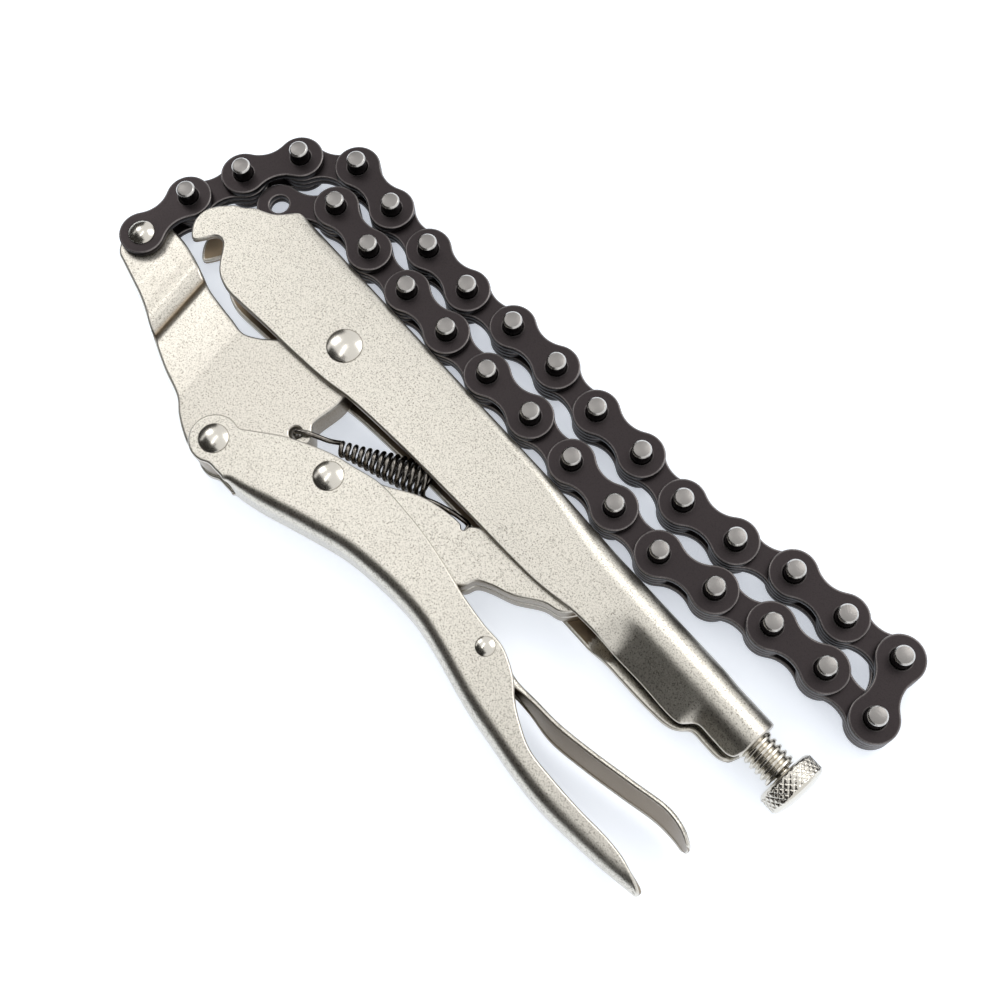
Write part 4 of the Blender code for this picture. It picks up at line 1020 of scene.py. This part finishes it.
def build_jaw(s):
    """A flat blank whose half thickness follows the slanted place x cos a + y sin a."""
    heights = softened(even(np.array(JAW_HEIGHTS), 0.1, False), JAW_EASE, False)
    slant = math.radians(JAW_SLANT)
    edge = np.vstack([JAW_EDGE, arc(LEVER_PIVOT, 6.0, 275.0, 322.0, 4),
                      arc(SPRING_HOLE, 4.4, -38.0, 62.0, 6), [(10.4, -19.0), (10.4, -10.5)],
                      arc(MAIN_PIVOT, 9.2, -20.0, 200.0, 12), JAW_TOP])
    edge = eased_loop(curved(edge, True, FINE_STEP), JAW_EASE, s.step)

    def slanted(points):
        return points[:, 0] * math.cos(slant) + points[:, 1] * math.sin(slant)

    def place(points, side, depth):
        half = np.interp(slanted(points), heights[:, 0], heights[:, 1])
        away = np.hypot(points[:, 0] - CHAIN_PIVOT[0], points[:, 1] - CHAIN_PIVOT[1])
        half = mix(JAW_TIP_HALF, half, smooth_step(*JAW_TIP_SPAN, away))
        return np.column_stack([points, s.middle + side * (half - depth)])

    shell = blank(edge, [bore(*hole) for hole in JAW_BORES], place, s.jaw_rim, JAW_GRID)
    # Painted shade in a band along the groove, where its steep face would be dark
    beside = np.abs(slanted(shell[0]) - GROOVE_SHADE_PLACE)
    groove_shade = np.clip(GROOVE_SHADE_PEAK - beside / GROOVE_SHADE_REACH, 0.0, 1.0)
    shell = (*shell[:3], np.where(groove_shade > 0, -groove_shade, shell[3]))
    piece("jaw_skin", shell, "forged_nickel_look", "jaw", ["jaw"])


def build_toggle(s):
    """Two flat plates, one over the other: the outline is in shares of the link, turned to it."""
    reach = math.dist(LINK_PIVOT, LINK_TOE)
    heading = math.atan2(LINK_TOE[1] - LINK_PIVOT[1], LINK_TOE[0] - LINK_PIVOT[0])
    lower, upper = (np.array(side)[::-1] * reach for side in (TOGGLE_LOWER, TOGGLE_UPPER))
    edge = np.vstack([arc((0.0, 0.0), 6.0, 80.0, 270.0, 12), lower,
                      arc((reach, 0.0), 3.4, -80.0, 80.0, 8), upper])
    c = math.cos(heading)
    n = math.sin(heading)
    edge = edge @ np.array([[c, n], [-n, c]]) + LINK_PIVOT
    edge = eased_loop(curved(edge, True, FINE_STEP), TOGGLE_EASE, TOGGLE_STEP)
    low = s.middle - s.jaw_half
    for name, base in (("toggle_link_lower", low),
                       ("toggle_link_upper", low + s.toggle_plate + s.gap)):
        shell = blank(edge, [bore(*TOGGLE_BORE)], level(base, base + s.toggle_plate), TOGGLE_RIM,
                      TOGGLE_GRID)
        piece(name + "_skin", shell, "satin_nickel_look", "toggle_link", [name])


# How far in front of the handle's rear end the screw's thread starts
THREAD_START = 16.0
THREAD_STEP = 0.07
# Where the thread's ridge is full, as a share of the flank over it, and how steep the flank is
THREAD_PEAK = 1.35
THREAD_SLOPE = 2.7
# The screw's front end by ring, and its thin rear end, which the knob covers: length and radius
FRONT_RADII = (2.3, 4.6)
TENON = (3.5, 2.4)
# The knob by radius and depth, from its outer face and from its back
KNOB_FACE = ((2.0, 0.03), (4.3, 0.25), (5.8, 0.55), (6.6, 0.8), (6.9, 0.95), (7.15, 1.0),
             (7.4, 1.15), (7.72, 1.7))
KNOB_BACK = ((7.75, 0.85), (7.4, 0.4), (6.9, 0.1), (6.5, 0.02), (2.75, 0.02), (2.72, 3.4))
KNURL_TURNS = 27
KNURL_RISE = 1.75
KNURL_FLANK = (0.34, 0.5)
KNURL_AT_ENDS = 0.35


def build_screw(s):
    """A shank that rises to the thread along a helix, where turn is x / pitch - angle / 360."""
    start, end = along_x(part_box("adjusting_screw"))
    first = s.tail - THREAD_START
    x = np.concatenate([[start + 0.02, start + 1.2], np.linspace(start + 2.4, first, 6),
                        np.arange(first + 0.1, end - 3.45, THREAD_STEP), [end - 3.4, end - 0.02]])
    angle = round_turn(72)
    turn = (x[:, None] / s.thread_pitch - angle[None] / math.tau) % 1.0
    ridge = smooth_step(0.0, 1.0, THREAD_PEAK - THREAD_SLOPE * np.abs(turn - 0.5))
    fade = smooth_step(first, first + 1.5, x)[:, None]
    radius = s.thread - s.thread_depth * (1 - ridge) * fade
    radius[x > end - TENON[0]] = TENON[1]
    radius[:2] = np.array(FRONT_RADII)[:, None]
    shell = capped(spun(radius, x, angle)[::-1], end, start,
                   (0.0, s.spine - s.half_width, s.middle), True)
    piece("adjusting_screw_skin", shell, "bright_nickel_look", "adjusting_screw",
          ["adjusting_screw"])


def build_knob(s):
    """A round body whose band is cut by two crossing sets of grooves, deepest where both meet.

    A groove's place is angle * turns / 360 plus or less the way along the band / rise.
    """
    start, end = along_x(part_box("screw_knob"))
    angle = round_turn(216)
    band = np.linspace(start + 0.95, end - 1.85, 34)
    along = (band[:, None] - start) / KNURL_RISE
    around = angle[None] * KNURL_TURNS / math.tau
    one, two = (smooth_step(*KNURL_FLANK, np.abs((around + way) % 1.0 - 0.5))
                for way in (along, -along))
    fade = smooth_step(band[0], band[3], band) * (1 - smooth_step(band[-4], band[-1], band))
    groove = np.maximum(one, two) * (KNURL_AT_ENDS + (1 - KNURL_AT_ENDS) * fade[:, None])
    rim = s.knob - s.knurl * groove
    upper = np.array(KNOB_FACE) * (1.0, -1.0) + (0.0, end)
    lower = np.array(KNOB_BACK) + (0.0, start)
    radius = np.vstack([np.repeat(upper[:, :1], len(angle), 1), rim[::-1],
                        np.repeat(lower[:, :1], len(angle), 1)])
    height = np.concatenate([upper[:, 1], band[::-1], lower[:, 1]])
    shell = capped(spun(radius, height, angle), end, lower[-1, 1],
                   (0.0, s.spine - s.half_width, s.middle), True)
    piece("screw_knob_skin", shell, "bright_nickel_look", "screw_knob", ["screw_knob"])


# A rivet's head: height of its rounded rim, gap under it, and how far its edge turns in
HEAD_RIM = 0.12
HEAD_GAP = 0.06
HEAD_TUCK = 0.1
DOME_POINTS = 16
RIVET_SIDES = 48


def rivet(name, place, head, shank, low, high, rise, body):
    """A shank with a low dome at both ends; the dome ends in a small rounded rim.

    The dome's height is sqrt(ball * ball - r * r) - ball + rise.
    """
    ball = (head ** 2 + (rise - HEAD_RIM) ** 2) / 2 / (rise - HEAD_RIM)
    across = head * np.linspace(0.0, 1.0, DOME_POINTS)
    dome = np.stack([across, np.sqrt(ball ** 2 - across ** 2) - ball + rise], 1)
    end = [*dome, (head - HEAD_TUCK, HEAD_GAP), (shank, HEAD_GAP)]
    profile = [(r, high + z) for r, z in end] + [(r, low - z) for r, z in end[::-1]]
    shell = turned(profile, RIVET_SIDES, (*place, 0.0))
    piece(name + "_skin", shell, "bright_nickel_look", body, [name])


def build_rivets(s):
    """The five rivets; all domes but the release rivet's and the chain's reach to the floor."""
    low = s.middle - s.half_width
    high = s.middle + s.half_width
    for name, place, head, shank, rise, body in (
            ("main_rivet", MAIN_PIVOT, s.main_head, 3.2, low, "main_handle"),
            ("lever_rivet", LEVER_PIVOT, s.pivot_head, 2.7, low, "lever"),
            ("link_rivet", LINK_PIVOT, s.pivot_head, 2.7, low, "lever"),
            ("release_rivet", RELEASE_PIVOT, s.release_head, 1.6, 0.7 * low, "lever")):
        rivet(name, place, head, shank, low, high, rise, body)
    rivet("chain_rivet", CHAIN_PIVOT, s.chain_head, 2.5, s.middle - 4.0, s.middle + 4.0, 1.5,
          "jaw")


# The coils' first and last middle, and their radius there
SPRING_ENDS = ((18.4, -17.3), (40.4, -6.3))
COIL_RADIUS = (1.45, 3.95)
COIL_POINTS = 28
WIRE_STEP = 0.22
WIRE_SIDES = 14
# Heights are over the middle plane
SPRING_TAIL = ((43.1, -9.9, 0.4), (46.4, -8.8, 1.5), (50.2, -7.6, 2.0), (53.3, -6.6, 1.2),
               (55.4, -6.3, 0.0), (56.2, -7.9, 0.0), (56.3, -9.0, 0.0))


def spring_line(s):
    """The wire's middle line: a hook over the jaw's edge, the coils, and a tail to the notch.

    A coil is its middle + radius * (side * cos a + up * sin a), with the radius growing rearward.
    """
    first, last = (np.array([*end, s.middle]) for end in SPRING_ENDS)
    along = (last - first) / np.linalg.norm(last - first)
    side = np.array([-along[1], along[0], 0.0])
    up = np.array([0.0, 0.0, 1.0])
    part = np.linspace(0.0, 1.0, s.coils * COIL_POINTS + COIL_POINTS // 2 + 1)
    angle = math.tau * (s.coils + 0.5) * part
    radius = mix(*COIL_RADIUS, smooth_step(-0.1, 0.95, part))[:, None]
    coil = first + (last - first) * part[:, None]
    coil = coil + radius * (side * np.cos(angle)[:, None] + up * np.sin(angle)[:, None])
    top = s.jaw_half + s.wire + 0.1
    hook = [(*SPRING_HOLE, 1.5), (*SPRING_HOLE, 3.9), (9.7, -23.4, top),
            (11.6, -21.9, top + 0.35), (13.8, -20.2, top - 1.2), (15.8, -18.6, 2.6),
            (17.0, -17.0, 0.9)]
    return curved(np.vstack([hook + up * s.middle, coil, SPRING_TAIL + up * s.middle]),
                  spacing=WIRE_STEP)


def build_spring(s):
    """A wire along the spring's line."""
    shell = tube(spring_line(s), s.wire, WIRE_SIDES)
    piece("spring_skin", shell, "spring_look", "jaw", ["spring"])


# Heights of a link's two plates, lower and upper face of each
OUTER_PLATES = ((4.0, 5.9), (10.1, 12.0))
INNER_PLATES = ((6.2, 7.92), (8.08, 9.8))
PIN_PLAY = 0.12
PIN_SIDES = 32
# Attribute values from the pin's upper end to its lower one: bevels rubbed and partly a painted
# highlight, painted shade on the sides between the plates
PIN_WEAR_AND_PAINTED_LIGHT = (0.0, 1.0, 1.0, -1.0, -1.0, 1.0, 1.0, 0.0)


def link_edge(s):
    """A plate seen from above: two round ends, and a hollow waist whose arc touches both.

    Its radius is (half * half + w * w - e * e) / (2 * (e - w)) for half the pitch, waist and end.
    """
    half = s.pitch / 2
    waist = (half ** 2 + s.plate_waist ** 2 - s.plate_end ** 2) / 2 / (s.plate_end - s.plate_waist)
    lean = math.degrees(math.atan2(waist + s.plate_waist, half))
    low = arc((half, -waist - s.plate_waist), waist, 180.0 - lean, lean, 10)[1:-1]
    line = np.vstack([arc((0.0, 0.0), s.plate_end, lean, 360.0 - lean, 30), low,
                      arc((s.pitch, 0.0), s.plate_end, lean - 180.0, 180.0 - lean, 30),
                      -low + (s.pitch, 0.0)])
    return eased_loop(even(line, FINE_STEP, True), 0.3, 0.75)


def link_plates(s, heights):
    """A link's two plates from zero along X, each with two bores."""
    bores = [bore((x, 0.0), s.pin + PIN_PLAY, 15.0) for x in (0.0, s.pitch)]
    return joined([blank(link_edge(s), bores, level(*pair), s.plate_rim, LINK_GRID, steps=4)
                   for pair in heights])


def link_pins(s, places):
    """Pins with bevelled ends at places along X."""
    bevel = s.pin_bevel
    end = [(0.0, 0.0), (s.pin - bevel - 0.05, 0.0), (s.pin - bevel, 0.02),
           (s.pin - 0.03, bevel - 0.03), (s.pin, bevel + 0.05)]
    profile = [(r, 2 * s.middle - z) for r, z in end] + end[::-1]
    wear_and_painted_light = np.concatenate([np.repeat(PIN_WEAR_AND_PAINTED_LIGHT, PIN_SIDES), [0.0, 0.0]])
    return joined([(*turned(profile, PIN_SIDES, (x, 0.0, 0.0))[:3], wear_and_painted_light) for x in places])


def build_links(s, is_outer):
    """Each link of a kind, turned and moved so that it runs from its joint through its middle."""
    joints = {j["child"]: j["pos_m"] for j in frame["joints"]
              if j["name"].startswith("chain_hinge")}
    kind = "outer_link" if is_outer else "inner_link"
    names = sorted(name for name in joints if name.startswith(kind))
    if not names:
        raise ValueError("the frame has no links of this kind")
    zero = origin()
    for name in names:
        low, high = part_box(name)
        pin = (np.array(joints[name]) - zero) / MM
        middle = (np.array((low + high) / 2) - zero) / MM
        angle = math.atan2(middle[1] - pin[1], middle[0] - pin[0])
        c, n = math.cos(angle), math.sin(angle)
        turn = np.array([[c, n, 0.0], [-n, c, 0.0], [0.0, 0.0, 1.0]])
        place = np.array([pin[0], pin[1], 0.0])
        plates, *rest = link_plates(s, OUTER_PLATES if is_outer else INNER_PLATES)
        piece(name + "_skin", (plates @ turn + place, *rest), "blackened_look", name, [name])
        if is_outer:
            # The first link shares its front hole with the chain's rivet
            pins, *rest = link_pins(s, (s.pitch,) if name.endswith("_01") else (0.0, s.pitch))
            piece(name + "_pins", (pins @ turn + place, *rest), "pin_end_look", name, [name])


# Stage

FLOOR_HALF = 2.0
FLOOR_DROP = 0.0001
# Dark cards that only reflections show: middle, and half the size along two ways, in metres
CARDS = (
    ("side_card", (-0.10, -0.47, 0.31), (0.60, 0.0, 0.0), (0.0, 0.0, 0.31)),
    ("nose_card", (-0.52, -0.06, 0.17), (0.0, 0.35, 0.0), (0.0, 0.0, 0.17)),
    ("roof_card", (-0.18, -0.33, 0.60), (0.45, 0.0, 0.0), (0.0, 0.145, 0.0)),
    ("lens_card", (-0.04, -0.127, 0.56), (0.06, 0.0, 0.0), (0.0, 0.032, 0.0)),
)
# Lamps: place, aim, size, watts and colour
LAMPS = (
    ("key", (0.10, 0.80, 0.80), (0.0, 0.02, 0.0), (0.6, 0.6), 3.2, (1.0, 0.985, 0.96)),
    ("band", (-0.17, -0.06, 0.62), (0.0, 0.0, 0.0), (0.40, 0.06), 0.24, (1.0, 0.99, 0.97)),
    ("front", (-0.61, 0.025, 0.54), (-0.09, -0.02, 0.0), (0.24, 0.24), 0.5, (1.0, 0.99, 0.97)),
)
# The camera as fitted to the photograph: lens, its three axes, and its place in millimetres
SENSOR = 36.0
LENS = 52.884
CAMERA_RIGHT = (0.65231, 0.75703, -0.03746)
CAMERA_UP = (-0.70921, 0.62704, 0.32224)
CAMERA_BACK = (0.26743, -0.18364, 0.94592)
CAMERA_PLACE = (153.239, -63.165, 353.6)


def flat(name, centre, along, tall, material):
    """A flat rectangle about a centre, which reaches along two vectors to either side."""
    centre, along, tall = (np.array(v) for v in (centre, along, tall))
    corners = [centre + a * along + b * tall for a, b in ((-1, -1), (1, -1), (1, 1), (-1, 1))]
    mesh = bpy.data.meshes.new(name)
    mesh.from_pydata([tuple(p) for p in corners], [], [(0, 1, 2, 3)])
    mesh.materials.append(material)
    return linked(name, mesh)


def shown_ray(tree, x, y):
    """One for a ray that shows a surface, straight, mirrored or through glass, zero for others."""
    path = add_node(tree, "ShaderNodeLightPath", (x, y))
    value = path.outputs["Is Camera Ray"]
    for number, kind in enumerate(("Is Transmission Ray", "Is Glossy Ray"), 1):
        value = add_node(tree, "ShaderNodeMath", (x + 200 * number, y),
                         {0: value, 1: path.outputs[kind]}, operation="MAXIMUM").outputs[0]
    return value


def card_finish():
    """Matt near-black."""
    material, tree, shader = new_material("card_black")
    feed(tree, shader, {"Base Color": (0.02, 0.017, 0.013), "Roughness": 0.9})
    return material


def floor_finish(colours):
    """Matt white that keeps the shadow, lifted a little where it is seen or reflected."""
    material, tree, shader = new_material("floor_look")
    feed(tree, shader, {"Base Color": colours.floor, "Roughness": 1.0, "Specular IOR Level": 0.0,
                        "Emission Color": colours.floor_lift,
                        "Emission Strength": shown_ray(tree, -700, 0)})
    return material


def build_stage():
    """World, floor, cards, lamps and camera."""
    scene = bpy.context.scene
    colours = scene.clamp_colours
    scene.view_settings.view_transform = "Standard"
    world = bpy.data.worlds.new("studio")
    scene.world = world
    world.use_nodes = True
    tree = world.node_tree
    shown = blended(tree, (50, 0), shown_ray(tree, -900, 300), colours.sky, (1.0, 1.0, 1.0))
    feed(tree, tree.nodes["Background"], {"Color": shown, "Strength": 1.0})

    floor = flat("floor", (0.0, 0.0, 0.0), (FLOOR_HALF, 0.0, 0.0), (0.0, FLOOR_HALF, 0.0),
                 floor_finish(colours))
    floor.location = (0.0, 0.0, -FLOOR_DROP)
    black = card_finish()
    cards = [flat(*card, black) for card in CARDS]
    for item in cards:
        item.visible_camera = False
        item.visible_diffuse = False
        item.visible_shadow = False

    for name, place, aim, wide, watts, tint in LAMPS:
        light = bpy.data.lights.new(name, "AREA")
        light.shape = "RECTANGLE"
        light.size, light.size_y = wide
        light.energy = watts
        light.color = tint
        lamp = linked(name, light)
        lamp.location = Vector(place)
        lamp.rotation_euler = (Vector(place) - Vector(aim)).to_track_quat("Z", "Y").to_euler()

    camera = linked("camera", bpy.data.cameras.new("camera"))
    camera.data.sensor_width = SENSOR
    camera.data.lens = LENS
    turn = Matrix((CAMERA_RIGHT, CAMERA_UP, CAMERA_BACK)).transposed().to_4x4()
    turn.translation = Vector(origin()) + Vector(CAMERA_PLACE) * MM
    camera.matrix_world = turn
    scene.camera = camera


class ClampOperator:
    """What all buttons share."""
    bl_options = {"REGISTER", "UNDO"}


class CLAMP_OT_stage(ClampOperator, bpy.types.Operator):
    """Floor, cards, lamps, world and camera"""
    bl_idname = "clamp.stage"
    bl_label = "Stage"

    def execute(self, context):
        build_stage()
        return {"FINISHED"}


class CLAMP_OT_handle(ClampOperator, bpy.types.Operator):
    """The main handle, a pressed channel that closes into a tube"""
    bl_idname = "clamp.handle"
    bl_label = "Main handle"

    def execute(self, context):
        build_handle(sizes())
        return {"FINISHED"}


class CLAMP_OT_jaw(ClampOperator, bpy.types.Operator):
    """The forged jaw with its groove and ridge"""
    bl_idname = "clamp.jaw"
    bl_label = "Jaw"

    def execute(self, context):
        build_jaw(sizes())
        return {"FINISHED"}


class CLAMP_OT_lever(ClampOperator, bpy.types.Operator):
    """The lever, a folded channel"""
    bl_idname = "clamp.lever"
    bl_label = "Lever"

    def execute(self, context):
        build_lever(sizes())
        return {"FINISHED"}


class CLAMP_OT_toggle(ClampOperator, bpy.types.Operator):
    """The two toggle plates"""
    bl_idname = "clamp.toggle"
    bl_label = "Toggle plates"

    def execute(self, context):
        build_toggle(sizes())
        return {"FINISHED"}


class CLAMP_OT_release(ClampOperator, bpy.types.Operator):
    """The thin release lever"""
    bl_idname = "clamp.release"
    bl_label = "Release lever"

    def execute(self, context):
        build_release(sizes())
        return {"FINISHED"}


class CLAMP_OT_screw(ClampOperator, bpy.types.Operator):
    """The adjusting screw with its thread"""
    bl_idname = "clamp.screw"
    bl_label = "Adjusting screw"

    def execute(self, context):
        build_screw(sizes())
        return {"FINISHED"}


class CLAMP_OT_knob(ClampOperator, bpy.types.Operator):
    """The knob with its diamond pattern"""
    bl_idname = "clamp.knob"
    bl_label = "Knob"

    def execute(self, context):
        build_knob(sizes())
        return {"FINISHED"}


class CLAMP_OT_rivets(ClampOperator, bpy.types.Operator):
    """The domed rivets"""
    bl_idname = "clamp.rivets"
    bl_label = "Rivets"

    def execute(self, context):
        build_rivets(sizes())
        return {"FINISHED"}


class CLAMP_OT_spring(ClampOperator, bpy.types.Operator):
    """The coiled spring with its hook and tail"""
    bl_idname = "clamp.spring"
    bl_label = "Spring"

    def execute(self, context):
        build_spring(sizes())
        return {"FINISHED"}


class CLAMP_OT_outer_links(ClampOperator, bpy.types.Operator):
    """The chain's outer links with their pins"""
    bl_idname = "clamp.outer_links"
    bl_label = "Outer links"

    def execute(self, context):
        build_links(sizes(), True)
        return {"FINISHED"}


class CLAMP_OT_inner_links(ClampOperator, bpy.types.Operator):
    """The chain's inner links"""
    bl_idname = "clamp.inner_links"
    bl_label = "Inner links"

    def execute(self, context):
        build_links(sizes(), False)
        return {"FINISHED"}


OPERATORS = (CLAMP_OT_stage, CLAMP_OT_handle, CLAMP_OT_jaw, CLAMP_OT_lever, CLAMP_OT_toggle,
             CLAMP_OT_release, CLAMP_OT_screw, CLAMP_OT_knob, CLAMP_OT_rivets, CLAMP_OT_spring,
             CLAMP_OT_outer_links, CLAMP_OT_inner_links)


class CLAMP_PT_panel(bpy.types.Panel):
    """Sizes, colours and one button per group of pieces"""
    bl_idname = "CLAMP_PT_panel"
    bl_label = "Chain clamp"
    bl_space_type = "VIEW_3D"
    bl_region_type = "UI"
    bl_category = "Clamp"

    def draw(self, context):
        for operator in OPERATORS:
            self.layout.operator(operator.bl_idname)
        for group, kind in ((context.scene.clamp_sizes, ClampSizes),
                            (context.scene.clamp_colours, ClampColours)):
            for name in kind.__annotations__:
                self.layout.prop(group, name)


CLASSES = (ClampSizes, ClampColours, *OPERATORS, CLAMP_PT_panel)


def register():
    """Makes the panel, the operators and the two groups of values known."""
    for kind in CLASSES:
        bpy.utils.register_class(kind)
    bpy.types.Scene.clamp_sizes = bpy.props.PointerProperty(type=ClampSizes)
    bpy.types.Scene.clamp_colours = bpy.props.PointerProperty(type=ClampColours)


def unregister():
    """Takes them out again, in the other order."""
    del bpy.types.Scene.clamp_colours
    del bpy.types.Scene.clamp_sizes
    for kind in reversed(CLASSES):
        bpy.utils.unregister_class(kind)


def main():
    """Runs the operators in order."""
    register()
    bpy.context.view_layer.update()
    for operator in OPERATORS:
        group, name = operator.bl_idname.split(".")
        getattr(getattr(bpy.ops, group), name)()


if __name__ == "__main__":
    main()
